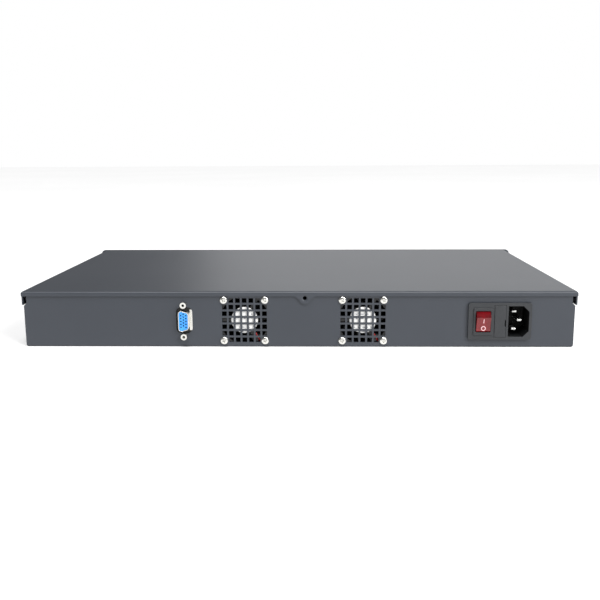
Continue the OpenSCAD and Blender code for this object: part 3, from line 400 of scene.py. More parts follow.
def label_paper():
    """Coated paper label: white, matte, with faint broken rules for its print."""
    label = settings("fans").label
    finish = Finish("coated_label_paper", label, 0.55)
    rules = finish.steps(finish.bands("Z", 1 / (11 * MM)), 0.78, 0.9)
    breaks = finish.steps(finish.noise(1.6 * MM, 1.0, (1, 1, 0.2)), 0.5, 0.56)
    ink = add(finish.tree, "ShaderNodeMath", {0: rules, 1: breaks}, operation="MULTIPLY").outputs[0]
    faint = add(finish.tree, "ShaderNodeMath", {0: ink, 1: 0.8}, operation="MULTIPLY").outputs[0]
    return finish.tones(faint, (label, "#6C6E79")).grain(0.3 * MM, 0.01 * MM, 0.2)


def pvc_lead(name, colour, shade):
    """Extruded PVC insulation: soft gloss with slight waviness."""
    finish = Finish(name, colour, 0.34)
    return finish.clouds((shade, colour), 8 * MM).grain(2 * MM, 0.05 * MM, 0.2)


def red_pvc():
    """Red lead."""
    return pvc_lead("red_pvc_insulation", "#B5201F", "#9C1A1A")


def black_pvc():
    """Black lead."""
    return pvc_lead("black_pvc_insulation", "#17181A", "#101113")


def brown_pvc():
    """Brown mains lead."""
    return pvc_lead("brown_pvc_insulation", "#5F3A22", "#4E2F1B")


def yellow_pvc():
    """Yellow low-voltage lead."""
    return pvc_lead("yellow_pvc_insulation", "#C9A227", "#B08C1E")


def grey_ribbon():
    """Grey flat cable: fine ribs along it, one per conductor."""
    finish = Finish("grey_ribbon_pvc", "#A9ACB0", 0.45)
    finish.clouds(("#9A9DA2", "#B2B5B8"), 25 * MM)
    return finish.bump(finish.bands("X", 1 / (7 * MM)), 0.2 * MM, 0.8)


def copper_winding():
    """Enamelled copper wire, wound in fine turns."""
    finish = Finish("enamelled_copper_winding", "#B0623A", 0.3, metallic=0.9)
    # 0.2 mm wire is drawn at about 0.6 mm so that the turns show
    finish.bump(finish.bands("Y", 1 / (4 * MM), Distortion=1.0, Detail=1.0), 0.15 * MM, 0.8)
    return finish.clouds(("#9A5230", "#BD7044"), 3 * MM)


def clear_glass():
    """Clear glass tube of the fuse."""
    return Finish("clear_tube_glass", "#F2F7F7", 0.05, Transmission_Weight=0.9, IOR=1.5)


def lamp_glass():
    """Neon lamp's glass, faintly orange."""
    return Finish("neon_lamp_glass", "#F0C09A", 0.08, Transmission_Weight=0.7, IOR=1.5)


def acrylic_light_pipe():
    """Clear acrylic of the light pipes, faintly green."""
    finish = Finish("clear_acrylic", "#E4F2EA", 0.12, Transmission_Weight=0.6, IOR=1.49)
    return finish.grain(1.5 * MM, 0.02 * MM, 0.15)


def red_polycarbonate():
    """Translucent red polycarbonate: deep colour, glossy skin, light spread inside."""
    colour = settings("inlet").rocker
    finish = Finish(
        "translucent_red_polycarbonate", colour, 0.3,
        Subsurface_Weight=0.3, Subsurface_Radius=(1.0, 0.12, 0.08), Subsurface_Scale=1.2 * MM,
        Coat_Weight=0.2, Coat_Roughness=0.15,
    )
    return finish.clouds(("#6A0C11", colour), 5 * MM).grain(0.8 * MM, 0.02 * MM, 0.15)


def deep_red_polycarbonate():
    """The same red where the rocker dips into its frame: deeper and duller, as less light comes back."""
    finish = Finish("shaded_red_polycarbonate", "#58030A", 0.5, Specular_IOR_Level=0.05)
    return finish.clouds(("#4A0207", "#64040C"), 5 * MM)


def mark_ink():
    """Hot-stamped white foil of the on and off marks, tinted by the red below."""
    return Finish("hot_stamped_white", settings("inlet").mark, 0.4).grain(0.3 * MM, 0.01 * MM, 0.3)


def blue_pbt():
    """Blue PBT insulator of the display port."""
    finish = Finish("blue_pbt_moulding", "#3A95E8", 0.4)
    return finish.clouds(("#318ADC", "#44A0F0"), 6 * MM).grain(0.4 * MM, 0.02 * MM, 0.25)


def socket_shade():
    """The same moulding down in its sockets, where hardly any light gets in."""
    finish = Finish("shaded_blue_pbt", "#061222", 0.7, Specular_IOR_Level=0.1)
    return finish.clouds(("#050F1D", "#081628"), 6 * MM)


def gold_flash():
    """Gold flash over nickel on contacts."""
    return Finish("gold_flash", "#D9B55A", 0.24, metallic=1.0).gloss(0.18, 0.34, 1 * MM)


def solder_mask(name, mask, track):
    """Solder mask over copper tracks: glossy, with raised tracks in a slightly lighter tone."""
    finish = Finish(name, mask, 0.3, Coat_Weight=0.3, Coat_Roughness=0.15)
    tree = finish.tree
    sockets = {"Vector": finish.place, "Scale": 1 / (9 * MM), "Mortar Size": 0.03}
    sockets |= {"Brick Width": 0.9, "Row Height": 0.16}
    tracks = add(tree, "ShaderNodeTexBrick", sockets)
    for socket, colour in (("Color1", mask), ("Color2", mask), ("Mortar", track)):
        tracks.inputs[socket].default_value = linear(colour)
    tree.links.new(tracks.outputs["Color"], finish.shader.inputs["Base Color"])
    return finish.bump(tracks.outputs["Fac"], 0.04 * MM, 0.6)


def green_board():
    """Green board with its tracks."""
    return solder_mask("green_solder_mask", "#1B5434", "#2C6F47")


def tan_board():
    """Single-sided phenolic board: tan with paper fibres."""
    finish = Finish("phenolic_paper_board", "#B08A4A", 0.45)
    finish.clouds(("#9C7A3F", "#BC965A"), 4 * MM)
    return finish.grain(1.5 * MM, 0.03 * MM, 0.4, stretch=(1, 0.2, 1))


def turned_brass():
    """Turned brass of the standoffs."""
    finish = Finish("turned_brass", "#C8A04C", 0.3, metallic=1.0)
    return finish.grain(0.3 * MM, 0.02 * MM, 0.4, stretch=(0.2, 0.2, 3))


def extruded_aluminium():
    """Extruded aluminium: pale, with fine die lines along it."""
    finish = Finish("extruded_aluminium", "#BFC3C7", 0.34, metallic=1.0)
    finish.gloss(0.28, 0.44, 5 * MM, stretch=(1, 0.1, 1))
    return finish.grain(0.6 * MM, 0.03 * MM, 0.4, stretch=(1, 0.05, 1))


def chip_epoxy():
    """Moulded epoxy of the chips: matte black with a fine grain."""
    return Finish("black_moulded_epoxy", "#1E1F21", 0.6).grain(0.3 * MM, 0.02 * MM, 0.5)


def capacitor_sleeve():
    """Shrink sleeve of the capacitors: dark blue, glossy, slightly wrinkled."""
    finish = Finish("blue_shrink_sleeve", "#27305F", 0.28)
    return finish.clouds(("#1F274F", "#2C3768"), 7 * MM).grain(2.5 * MM, 0.08 * MM, 0.25)


def white_nylon():
    """Natural nylon of the board connectors: warm white, slightly waxy."""
    finish = Finish(
        "natural_white_nylon", "#DEDACB", 0.45,
        Subsurface_Weight=0.15, Subsurface_Radius=(0.6, 0.5, 0.4), Subsurface_Scale=1 * MM,
    )
    return finish.clouds(("#D2CDBB", "#E4E0D2"), 10 * MM).grain(0.5 * MM, 0.02 * MM, 0.25)


def polyester_tape():
    """Yellow polyester tape round the transformer: glossy, with the edges of its turns."""
    finish = Finish("yellow_polyester_tape", "#D1B13C", 0.25, Coat_Weight=0.3)
    finish.bump(finish.bands("Z", 1 / (60 * MM), Distortion=0.6), 0.15 * MM, 0.5)
    return finish.clouds(("#C3A231", "#DABB48"), 9 * MM)


def anodised_drive_case():
    """Blasted and anodised aluminium of the drive: dark grey, dull metal."""
    finish = Finish("blasted_anodised_aluminium", "#55585D", 0.45, metallic=0.8)
    return finish.grain(0.4 * MM, 0.03 * MM, 0.4).clouds(("#4C4F54", "#5C5F64"), 25 * MM)


def pale_floor():
    """Matte painted studio floor."""
    colour = settings("studio").floor
    return Finish("matte_pale_floor", colour, 0.85).clouds((colour, "#FCFCFC"), 0.5)


FINISHES = {}


def finish_of(maker):
    """The material that a finish function makes, made once."""
    if maker.__name__ not in FINISHES:
        FINISHES[maker.__name__] = maker().material
    return FINISHES[maker.__name__]


# ---- Making pieces ----


def body_of(node):
    """The name of the body that a CAD node rides on."""
    return frame["nodes"][node]["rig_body"]


def size(node):
    """Extents of a CAD node's box."""
    low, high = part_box(node)
    return high - low


def mesh_of(bm, name="spare"):
    """A mesh of a bmesh, which is freed."""
    mesh = bpy.data.meshes.new(name)
    bm.to_mesh(mesh)
    bm.free()
    return mesh


def linked(name, data):
    """An object in the scene that holds the data."""
    thing = bpy.data.objects.new(name, data)
    bpy.context.scene.collection.objects.link(thing)
    return thing


def finish_piece(bm, node, maker, smooth=35, name=None):
    """Makes an object of a bmesh, gives it a finish, and lets it stand for a CAD node."""
    name = name or f"{node}_piece"
    mesh = mesh_of(bm, name)
    mesh.materials.append(finish_of(maker))
    mesh.polygons.foreach_set("use_smooth", [True] * len(mesh.polygons))
    mesh.set_sharp_from_angle(angle=math.radians(smooth))
    piece = linked(name, mesh)
    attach(piece, body_of(node))
    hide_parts(node)
    return piece


def inside(piece, maker, *boxes):
    """Gives a second finish to the faces whose middle lies in one of the (low, high) boxes."""
    piece.data.materials.append(finish_of(maker))
    for face in piece.data.polygons:
        if any(all(low[i] < face.center[i] < high[i] for i in range(3)) for low, high in boxes):
            face.material_index = 1


def cad_copy(node):
    """A merged bmesh copy of a CAD node's loose triangles."""
    bm = bmesh.new()
    bm.from_mesh(frame["nodes"][node].data)
    bmesh.ops.remove_doubles(bm, verts=bm.verts, dist=WELD / 2)
    return bm


def solids(node):
    """The separate solids of a CAD node, each as a bmesh, in order along X, then Z, then Y."""
    whole = cad_copy(node)
    waiting = set(whole.verts)
    found = []
    while waiting:
        group = set()
        edge = [waiting.pop()]
        while edge:
            vert = edge.pop()
            group.add(vert)
            near = {e.other_vert(vert) for e in vert.link_edges} & waiting
            waiting -= near
            edge.extend(near)
        part = whole.copy()
        keep = {v.index for v in group}
        part.verts.ensure_lookup_table()
        spare = [v for v in part.verts if v.index not in keep]
        bmesh.ops.delete(part, geom=spare, context="VERTS")
        found.append(part)
    whole.free()
    return sorted(found, key=lambda part: tuple(round(c, 4) for c in (extent(part)[0] + extent(part)[1])))


def extent(bm):
    """Lowest and highest corners of a bmesh."""
    low = Vector([min(v.co[i] for v in bm.verts) for i in range(3)])
    high = Vector([max(v.co[i] for v in bm.verts) for i in range(3)])
    return low, high


def solid_boxes(node):
    """The (low, high) corners of each solid of a CAD node."""
    boxes = []
    for part in solids(node):
        boxes.append(extent(part))
        part.free()
    return boxes


def standing(low, high):
    """The place at the middle of a box's foot, for a shape that was made along +Z."""
    return Matrix.Translation(((low.x + high.x) / 2, (low.y + high.y) / 2, low.z))


def facing_rear(low, high):
    """The place at the middle of a box's front side, for a shape made along +Z that points back."""
    centre = (low + high) / 2
    return Matrix.Translation((centre.x, low.y, centre.z)) @ UP_TO_REAR


def refine(node, maker, edge=0.12 * MM, segments=2, smooth=35, cuts=()):
    """A CAD node's copy with rounded edges, in its own finish; cuts are (place, normal) planes."""
    bm = cad_copy(node)
    bmesh.ops.dissolve_limit(bm, angle_limit=FLAT, verts=bm.verts, edges=bm.edges)
    for place, normal in cuts:
        geometry = bm.verts[:] + bm.edges[:] + bm.faces[:]
        bmesh.ops.bisect_plane(bm, geom=geometry, plane_co=place, plane_no=normal)
    piece = finish_piece(bm, node, maker, smooth)
    if edge:
        bevel = piece.modifiers.new("rounded edges", "BEVEL")
        bevel.width = edge
        bevel.segments = segments
        bevel.limit_method = "ANGLE"
        bevel.angle_limit = SHARP
        bevel.use_clamp_overlap = True
    shading = piece.modifiers.new("flat faces shaded flat", "WEIGHTED_NORMAL")
    shading.mode = "FACE_AREA"
    shading.weight = 100
    shading.keep_sharp = True
    return piece


def round_lead(bm, node, maker, name=None):
    """A lead from a CAD node's plain tubes, made smooth and round."""
    piece = finish_piece(bm, node, maker, smooth=80, name=name)
    rounding = piece.modifiers.new("round", "SUBSURF")
    rounding.levels = rounding.render_levels = 1


def moved(bm, matrix, first=0):
    """Transforms the vertices from number first on."""
    bm.verts.ensure_lookup_table()
    bmesh.ops.transform(bm, matrix=matrix, verts=bm.verts[first:])
    return bm


def lathe(profile, steps=32):
    """A solid turned about Z from (radius, height) points, from the bottom pole to the top pole."""
    bm = bmesh.new()
    verts = [bm.verts.new((radius, 0, height)) for radius, height in profile]
    edges = [bm.edges.new(pair) for pair in zip(verts, verts[1:])]
    bmesh.ops.spin(
        bm, geom=verts + edges, cent=(0, 0, 0), axis=(0, 0, 1), dvec=(0, 0, 0),
        angle=FULL_TURN, steps=steps, use_merge=True, use_duplicate=False,
    )
    bmesh.ops.remove_doubles(bm, verts=bm.verts, dist=WELD)
    bmesh.ops.recalc_face_normals(bm, faces=bm.faces)
    return bm


def rounded(points, radius, segments=3):
    """A (radius, height) profile with its corners rounded."""
    result = []
    for i, point in enumerate(points):
        here = Vector(point)
        if i in (0, len(points) - 1):
            result.append(here)
            continue
        before, after = Vector(points[i - 1]) - here, Vector(points[i + 1]) - here
        reach = min(radius, before.length * 0.45, after.length * 0.45)
        start, end = here + before.normalized() * reach, here + after.normalized() * reach
        for k in range(segments + 1):
            t = k / segments
            result.append(start * (1 - t) ** 2 + here * 2 * t * (1 - t) + end * t**2)
    return [tuple(p) for p in result]


def cuboid(low, high):
    """A box between two corners."""
    low, high = Vector(low), Vector(high)
    bm = bmesh.new()
    bmesh.ops.create_cube(bm, size=1)
    bmesh.ops.scale(bm, vec=high - low, verts=bm.verts)
    bmesh.ops.translate(bm, vec=(low + high) / 2, verts=bm.verts)
    return bm


def joined(parts):
    """One bmesh of several; the parts are freed."""
    whole = bmesh.new()
    for part in parts:
        spare = mesh_of(part)
        whole.from_mesh(spare)
        bpy.data.meshes.remove(spare)
    return whole


def repeated(single, places):
    """Copies of a bmesh at each place, a matrix; the single one is freed."""
    spare = mesh_of(single)
    whole = bmesh.new()
    for place in places:
        first = len(whole.verts)
        whole.from_mesh(spare)
        moved(whole, place, first)
    bpy.data.meshes.remove(spare)
    return whole


def carved(solid, cutter, operation="DIFFERENCE"):
    """The solid with the cutter's shape taken away, or kept, by an exact Boolean."""
    objects = [linked("spare", mesh_of(bm)) for bm in (solid, cutter)]
    boolean = objects[0].modifiers.new("cut", "BOOLEAN")
    boolean.object = objects[1]
    boolean.operation = operation
    boolean.solver = "EXACT"
    bpy.context.view_layer.update()
    result = bmesh.new()
    result.from_object(objects[0], bpy.context.evaluated_depsgraph_get())
    for spare in objects:
        mesh = spare.data
        bpy.data.objects.remove(spare)
        bpy.data.meshes.remove(mesh)
    bmesh.ops.remove_doubles(result, verts=result.verts, dist=WELD)
    return result


# ---- Screws and nuts ----


def cross_cutter(top, reach, depth, width=0.85 * MM):
    """A tapered cross, whose top is at the given height."""
    arms = []
    over = top + 0.4 * MM  # reaches past the head, so that the cut is open
    for turn in (0, math.pi / 2):
        bm = bmesh.new()
        bmesh.ops.create_cube(bm, size=1)
        for vert in bm.verts:
            low = vert.co.z < 0
            vert.co.x *= 2 * reach * (0.5 if low else 1)
            vert.co.y *= width * (0.75 if low else 1)
            vert.co.z = top - depth if low else over
        arms.append(moved(bm, Matrix.Rotation(turn, 4, "Z")))
    pit = [(0, top - depth * 1.1), (0.55 * MM, top - depth * 0.7), (0.62 * MM, over), (0, over)]
    return arms + [lathe(pit, 16)]


def threaded_profile(radius, bottom, top, pitch):
    """Points up the side of a threaded shank, as close rings with a chamfered tip."""
    root, chamfer = radius * THREAD_ROOT, 0.3 * MM
    points = [(0, bottom), (radius * 0.75, bottom), (root, bottom + chamfer)]
    threaded = top - bottom - 0.6 * MM
    rings = max(2, int(threaded / pitch))
    for i in range(rings):
        height = bottom + chamfer + threaded * (i + 0.5) / rings
        points += [(root, height - pitch * 0.3), (radius, height), (root, height + pitch * 0.3)]
    return points


def pan_screw(head_radius, head_height, shank_radius, length, steps=32):
    """A cross-recessed pan-head screw along +Z, its head's underside at z = 0."""
    options = settings("screws")
    shank = threaded_profile(shank_radius, -length, -0.2 * MM, options.thread_pitch)
    dome = [(shank_radius * THREAD_ROOT, 0), (head_radius * 0.97, 0), (head_radius, 0.12 * head_height)]
    for i in range(1, 8):
        angle = i / 8 * math.pi / 2
        dome.append((head_radius * math.cos(angle) ** 0.55, head_height * (0.35 + 0.65 * math.sin(angle))))
    dome.append((0, head_height))
    screw = lathe(shank + dome, steps)
    for arm in cross_cutter(head_height, min(options.recess, head_radius * 0.62), options.recess_depth):
        screw = carved(screw, arm)
    return screw


def countersunk_screw(head_radius, head_height, shank_radius, length):
    """A cross-recessed countersunk screw along +Z, its flat head's top at z = 0."""
    options = settings("screws")
    shank = threaded_profile(shank_radius, -length, -head_height - 0.1 * MM, options.thread_pitch)
    head = [(shank_radius, -head_height), (head_radius, -0.15 * MM), (head_radius, -0.02 * MM),
            (head_radius * 0.93, 0), (0, 0)]
    screw = lathe(shank + head, 28)
    for arm in cross_cutter(0, head_radius * 0.55, options.recess_depth):
        screw = carved(screw, arm)
    return screw


def hex_nut(corner_radius, height, bore):
    """A chamfered hexagonal nut from z = 0 up, with a ringed bore."""
    bm = bmesh.new()
    bmesh.ops.create_cone(
        bm, cap_ends=True, segments=6, radius1=corner_radius, radius2=corner_radius, depth=height
    )
    moved(bm, Matrix.Translation((0, 0, height / 2)))
    end, side = corner_radius * 0.88, corner_radius * 1.02
    limit = [(0, 0), (end, 0), (side, height * 0.18), (side, height * 0.82), (end, height), (0, height)]
    limit = lathe(limit, 36)
    bm = carved(bm, limit, "INTERSECT")
    return carved(bm, ringed_rod(bore, -1 * MM, height + 1 * MM))


def ringed_rod(radius, bottom, top):
    """A rod with thread rings, which cuts a tapped hole."""
    pitch, ridge = settings("screws").thread_pitch, 0.14 * MM
    rings = int((top - bottom) / pitch)
    points = [(0, bottom), (radius, bottom)]
    for i in range(rings):
        height = bottom + (i + 0.5) * pitch
        points += [(radius + ridge, height), (radius, height + pitch / 2)]
    points += [(radius, top + pitch), (0, top + pitch)]
    return lathe(points, 20)


def axis_of(part):
    """(axis index, sign) of a screw's bmesh: the axis that it is round about, towards its wider end."""
    low, high = extent(part)
    span = high - low
    pairs = [(abs(span[(i + 1) % 3] - span[(i + 2) % 3]), i) for i in range(3)]
    axis = min(pairs)[1]
    centre = (low + high) / 2

    def spread(side):
        end = high[axis] if side > 0 else low[axis]
        near = [v.co for v in part.verts if abs(v.co[axis] - end) < 0.5 * MM]
        return max((co - centre)[(axis + 1) % 3] for co in near)

    return axis, 1 if spread(1) > spread(-1) else -1


def toward(axis, sign):
    """Rotation that turns +Z to the given axis."""
    target = Vector([sign if i == axis else 0 for i in range(3)])
    return Vector((0, 0, 1)).rotation_difference(target).to_matrix().to_4x4()


def head_places(node, head_height):
    """A matrix for each screw of a CAD node, at the underside of its head."""
    places = []
    for part in solids(node):
        axis, sign = axis_of(part)
        low, high = extent(part)
        centre = (low + high) / 2
        centre[axis] = (high[axis] if sign > 0 else low[axis]) - sign * head_height
        places.append((Matrix.Translation(centre) @ toward(axis, sign), (high - low)[axis] - head_height))
        part.free()
    return places


def turned(place, number):
    """A place turned about its own axis, so that no two recesses line up."""
    return place @ Matrix.Rotation(number * 2.4, 4, "Z")


class APPLIANCE_OT_screws(bpy.types.Operator):
    """Make the screws and nuts"""

    bl_idname = "appliance.screws"
    bl_label = "Screws and Nuts"

    def execute(self, context):
        head = 2 * MM
        places = head_places("fan_screws", head)
        length = places[0][1]
        screw = pan_screw(3 * MM, head, 1.5 * MM, length, steps=40)
        whole = repeated(screw, [turned(place, i) for i, (place, _) in enumerate(places)])
        finish_piece(whole, "fan_screws", bright_nickel, 40)

        head = 1.8 * MM
        groups = {}
        for place, length in head_places("pan_head_screws", head):
            groups.setdefault(round(length, 5), []).append(place)
        parts = []
        for length, found in groups.items():
            screw = pan_screw(2.8 * MM, head, 1.45 * MM, length, steps=24)
            parts.append(repeated(screw, [turned(place, i) for i, place in enumerate(found)]))
        finish_piece(joined(parts), "pan_head_screws", zinc_plate, 40)

        places = head_places("cover_screws", 0)
        screw = countersunk_screw(3 * MM, 1.7 * MM, 1.45 * MM, places[0][1])
        whole = repeated(screw, [turned(place, i) for i, (place, _) in enumerate(places)])
        finish_piece(whole, "cover_screws", black_oxide, 40)

        boxes = solid_boxes("fan_nuts")
        nut = hex_nut(3.1 * MM, boxes[-1][1].y - boxes[-1][0].y, 1.5 * MM)
        finish_piece(repeated(nut, [facing_rear(*box) for box in boxes]), "fan_nuts", zinc_plate, 30)
        return {"FINISHED"}


# ---- Case ----


class APPLIANCE_OT_case(bpy.types.Operator):
    """Make the tray, the cover and the front plate"""

    bl_idname = "appliance.case"
    bl_label = "Case"

    def execute(self, context):
        edge = settings("case").edge
        for node in ("base_tray", "top_cover", "front_panel"):
            refine(node, powder_coated_steel, edge, smooth=30)
        return {"FINISHED"}


# ---- Fans ----


def fan_blade(inner, outer, low, high, sweep, twist, thickness=0.9 * MM):
    """One curved blade about Z, between two radii and two heights."""
    bm = bmesh.new()
    bmesh.ops.create_grid(bm, x_segments=8, y_segments=6, size=0.5)
    for vert in bm.verts:
        along, out = vert.co.x + 0.5, vert.co.y + 0.5
        radius = inner + (outer - inner) * out
        camber = 0.16 * math.sin(math.pi * along)
        angle = sweep * out**1.5 + twist * (along - 0.5 + camber) * (1 - 0.22 * out)
        tip = 0.08 * (out * (along - 0.5)) * (high - low)
        height = low + (high - low) * along - tip
        vert.co = (radius * math.cos(angle), radius * math.sin(angle), height)
    bmesh.ops.recalc_face_normals(bm, faces=bm.faces)
    bmesh.ops.solidify(bm, geom=bm.faces[:], thickness=thickness)
    bmesh.ops.recalc_face_normals(bm, faces=bm.faces)
    return bm


def fan_rotor(fan):
    """Hub cup and blades of a fan's rotor, turned about the fan's axis."""
    options = settings("fans")
    low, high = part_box(f"{fan}_rotor")
    depth = high.y - low.y
    hub = size(f"{fan}_label").x / 2
    tip = (high.x - low.x) / 2
    shaft = size(f"{fan}_shaft").x / 2
    wall, floor = 1 * MM, 1.4 * MM
    profile = [(shaft, 0), (hub, 0), (hub, depth), (hub - wall, depth), (hub - wall, floor), (shaft, floor)]
    cup = lathe(rounded(profile + [(shaft, 0)], 0.5 * MM), 64)
    bmesh.ops.recalc_face_normals(cup, faces=cup.faces)
    heights = 2.2 * MM, depth - 1.2 * MM
    blade = fan_blade(hub - 0.4 * MM, tip - 0.2 * MM, *heights, options.sweep, options.twist)
    count = options.blades
    turns = [Matrix.Rotation(FULL_TURN * i / count, 4, "Z") for i in range(count)]
    rotor = joined([cup, repeated(blade, turns)])
    moved(rotor, facing_rear(low, high))
    finish_piece(rotor, f"{fan}_rotor", black_fan_plastic)


def fan_label(fan):
    """A round label, slightly domed at its cut edge."""
    low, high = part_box(f"{fan}_label")
    radius, depth = (high.x - low.x) / 2, high.y - low.y
    disc = lathe(rounded([(0, 0), (radius, 0), (radius, depth), (0, depth)], 0.08 * MM), 72)
    moved(disc, facing_rear(low, high))
    finish_piece(disc, f"{fan}_label", label_paper, 40)


def fan_leads(fan):
    """The two leads, made round from the frame's plain tubes."""
    for part, maker, tone in zip(solids(f"{fan}_leads"), (red_pvc, black_pvc), ("red", "black")):
        round_lead(part, f"{fan}_leads", maker, f"{fan}_lead_{tone}")


class APPLIANCE_OT_fans(bpy.types.Operator):
    """Make both fans"""

    bl_idname = "appliance.fans"
    bl_label = "Fans"

    def execute(self, context):
        for fan in ("fan_a", "fan_b"):
            refine(f"{fan}_frame", black_fan_plastic, 0.25 * MM)
            refine(f"{fan}_stator", copper_winding, 0.2 * MM)
            refine(f"{fan}_shaft", ground_steel, 0.15 * MM)
            fan_rotor(fan)
            fan_label(fan)
            fan_leads(fan)
        return {"FINISHED"}


# ---- Display port ----


def jackscrew(place, corners, height):
    """A hexagonal jackscrew with a chamfered, tapped mouth."""
    nut = hex_nut(corners, height, 1.1 * MM)
    shank = lathe(threaded_profile(1.4 * MM, -4.2 * MM, 0, settings("screws").thread_pitch) + [(0, 0)], 20)
    return moved(joined([nut, shank]), place)


class APPLIANCE_OT_display_port(bpy.types.Operator):
    """Make the display port and its jackscrews"""

    bl_idname = "appliance.display_port"
    bl_label = "Display Port"

    def execute(self, context):
        low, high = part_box("vga_shell")
        rim = [v.co for v in frame["nodes"]["vga_shell"].data.vertices if v.co.y > high.y - 0.1 * MM]
        foot, head, side = min(co.z for co in rim), max(co.z for co in rim), min(co.x for co in rim)
        up, across = Vector((0, 0, 1)), Vector((1, 0, 0))
        cuts = [(up * foot, up), (up * head, up), (across * side, across)]
        shell = refine("vga_shell", bright_nickel, 0.18 * MM, 3, 40, cuts)
        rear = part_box("base_tray")[1].y
        room = Vector((1, 1, 1)) * MM
        far = Vector((high.x, rear - 0.5 * MM, high.z)) + room * 0.1
        below = (low - room, Vector((far.x, far.y, foot + 0.1 * MM)))
        above = (Vector((low.x, low.y, head)) - room * 0.1, far)
        beside = (Vector((side, low.y, low.z)) - room * 0.1, far)
        # painted shade: the plate's faces behind the panel below, above and beside the shell get the dark
        # nickel, all but the strip on the shell's -X side, which stays bright
        inside(shell, painted_shade_nickel, below, above, beside)
        insulator = refine("vga_insulator", blue_pbt, 0.1 * MM)
        low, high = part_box("vga_insulator")
        skin = Vector((0, 1.3, 0)) * MM  # the outer 0.3 mm keep the bright blue
        inside(insulator, socket_shade, (low - room, high + room - skin))
        refine("vga_contacts", gold_flash, 0.05 * MM, 1)
        refine("vga_ribbon", grey_ribbon, 0.1 * MM, smooth=50)
        screws = []
        for low, high in solid_boxes("vga_jackscrews"):
            place = facing_rear(Vector((low.x, rear, low.z)), high)
            screws.append(jackscrew(place, (high.z - low.z) / 2, high.y - rear))
        finish_piece(joined(screws), "vga_jackscrews", bright_nickel, 30)
        return {"FINISHED"}


# ---- Mains inlet ----


def draped(bm, node, proud):
    """Moves a flat XZ shape's vertices along Y onto a CAD node's rear surface, a little proud of it."""
    source = cad_copy(node)
    surface = BVHTree.FromBMesh(source)
    top = extent(source)[1].y
    for vert in bm.verts:
        hit = surface.ray_cast(Vector((vert.co.x, top + 10 * MM, vert.co.z)), Vector((0, -1, 0)))[0]
        vert.co.y = hit.y + proud
    source.free()
    return bm


def stamped(bm, node, depth=0.12 * MM):
    """A thin mark lying in the surface of a CAD node."""
    draped(bm, node, 0.03 * MM)
    bmesh.ops.recalc_face_normals(bm, faces=bm.faces)
    if sum(face.normal.y for face in bm.faces) < 0:
        bmesh.ops.reverse_faces(bm, faces=bm.faces)
    bmesh.ops.solidify(bm, geom=bm.faces[:], thickness=depth)
    bmesh.ops.recalc_face_normals(bm, faces=bm.faces)
    return bm


def off_mark(centre, radius, width):
    """A flat ring in the XZ plane."""
    bm = bmesh.new()
    for rim in (radius - width, radius):
        bmesh.ops.create_circle(bm, cap_ends=False, radius=rim, segments=40)
    bmesh.ops.bridge_loops(bm, edges=bm.edges[:])
    bmesh.ops.scale(bm, vec=(1, 1.06, 1), verts=bm.verts)  # a letter O is a little taller than wide
    return moved(bm, Matrix.Translation(centre) @ Matrix.Rotation(math.pi / 2, 4, "X"))


def on_mark(centre, length, width):
    """A flat upright bar in the XZ plane."""
    bm = bmesh.new()
    bmesh.ops.create_grid(bm, x_segments=2, y_segments=8, size=0.5)
    bmesh.ops.scale(bm, vec=(width, length, 1), verts=bm.verts)
    return moved(bm, Matrix.Translation(centre) @ Matrix.Rotation(math.pi / 2, 4, "X"))


class APPLIANCE_OT_mains_inlet(bpy.types.Operator):
    """Make the mains module with its rocker and fuse drawer"""

    bl_idname = "appliance.mains_inlet"
    bl_label = "Mains Inlet"

    def execute(self, context):
        options = settings("inlet")
        housing = refine("inlet_housing", inlet_nylon, 0.35 * MM, 3)
        low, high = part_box("inlet_pins")
        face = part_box("inlet_housing")[1].y - 1 * MM
        rim = Vector((7, 0, 7)) * MM
        # painted shade: the housing's faces down in the recess round the pins get the near-black finish
        inside(housing, painted_shade_cavity, (low - rim, Vector((high.x, face, high.z)) + rim))
        refine("fuse_drawer", inlet_nylon, 0.25 * MM, 3)
        refine("switch_body", inlet_nylon, 0.3 * MM, 3)
        refine("inlet_pins", tin_plate, 0.7 * MM, 3)
        refine("switch_terminals", tin_plate, 0.15 * MM)
        refine("fuse_glass", clear_glass, 0.1 * MM)
        refine("fuse_caps", tin_plate, 0.3 * MM, 3)
        refine("rocker_lamp", lamp_glass, 0.8 * MM, 4)
        rocker = refine("power_rocker", red_polycarbonate, 0.35 * MM, 3, 30)
        low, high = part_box("power_rocker")
        centre = (low + high) / 2
        reach = high.z - low.z
        ridge = max(rocker.data.vertices, key=lambda vert: vert.co.y).co.z
        room = Vector((1, 1, 0)) * MM
        above = (Vector((low.x, low.y, ridge)) - room, Vector((high.x, high.y, high.z + 1 * MM)) + room)
        inside(rocker, deep_red_polycarbonate, above)
        width = options.mark_width
        ring = off_mark((centre.x, 0, low.z + reach * 0.22), radius=1.75 * MM, width=width)
        bar = on_mark((centre.x, 0, low.z + reach * 0.56), length=3.4 * MM, width=width)
        for name, mark in (("rocker_off_mark", ring), ("rocker_on_mark", bar)):
            finish_piece(stamped(mark, "power_rocker"), "power_rocker", mark_ink, name=name)
        return {"FINISHED"}


# ---- Front ----


class APPLIANCE_OT_front_ports(bpy.types.Operator):
    """Make the network and USB jacks, the light pipes and the reset button"""

    bl_idname = "appliance.front_ports"
    bl_label = "Front Ports"

    def execute(self, context):
        refine("lan_jacks", black_nylon, 0.15 * MM)
        refine("lan_shields", tin_plate, 0.1 * MM)
        refine("jack_contacts", gold_flash, 0)
        refine("usb_shell", tin_plate, 0.2 * MM)
        refine("usb_tongues", black_nylon, 0.2 * MM)
        refine("light_pipes", acrylic_light_pipe, 0.4 * MM, 3)
        refine("reset_button", black_nylon, 0.3 * MM, 3)
        refine("reset_switch", tin_plate, 0.3 * MM)
        return {"FINISHED"}


# ---- Main board ----


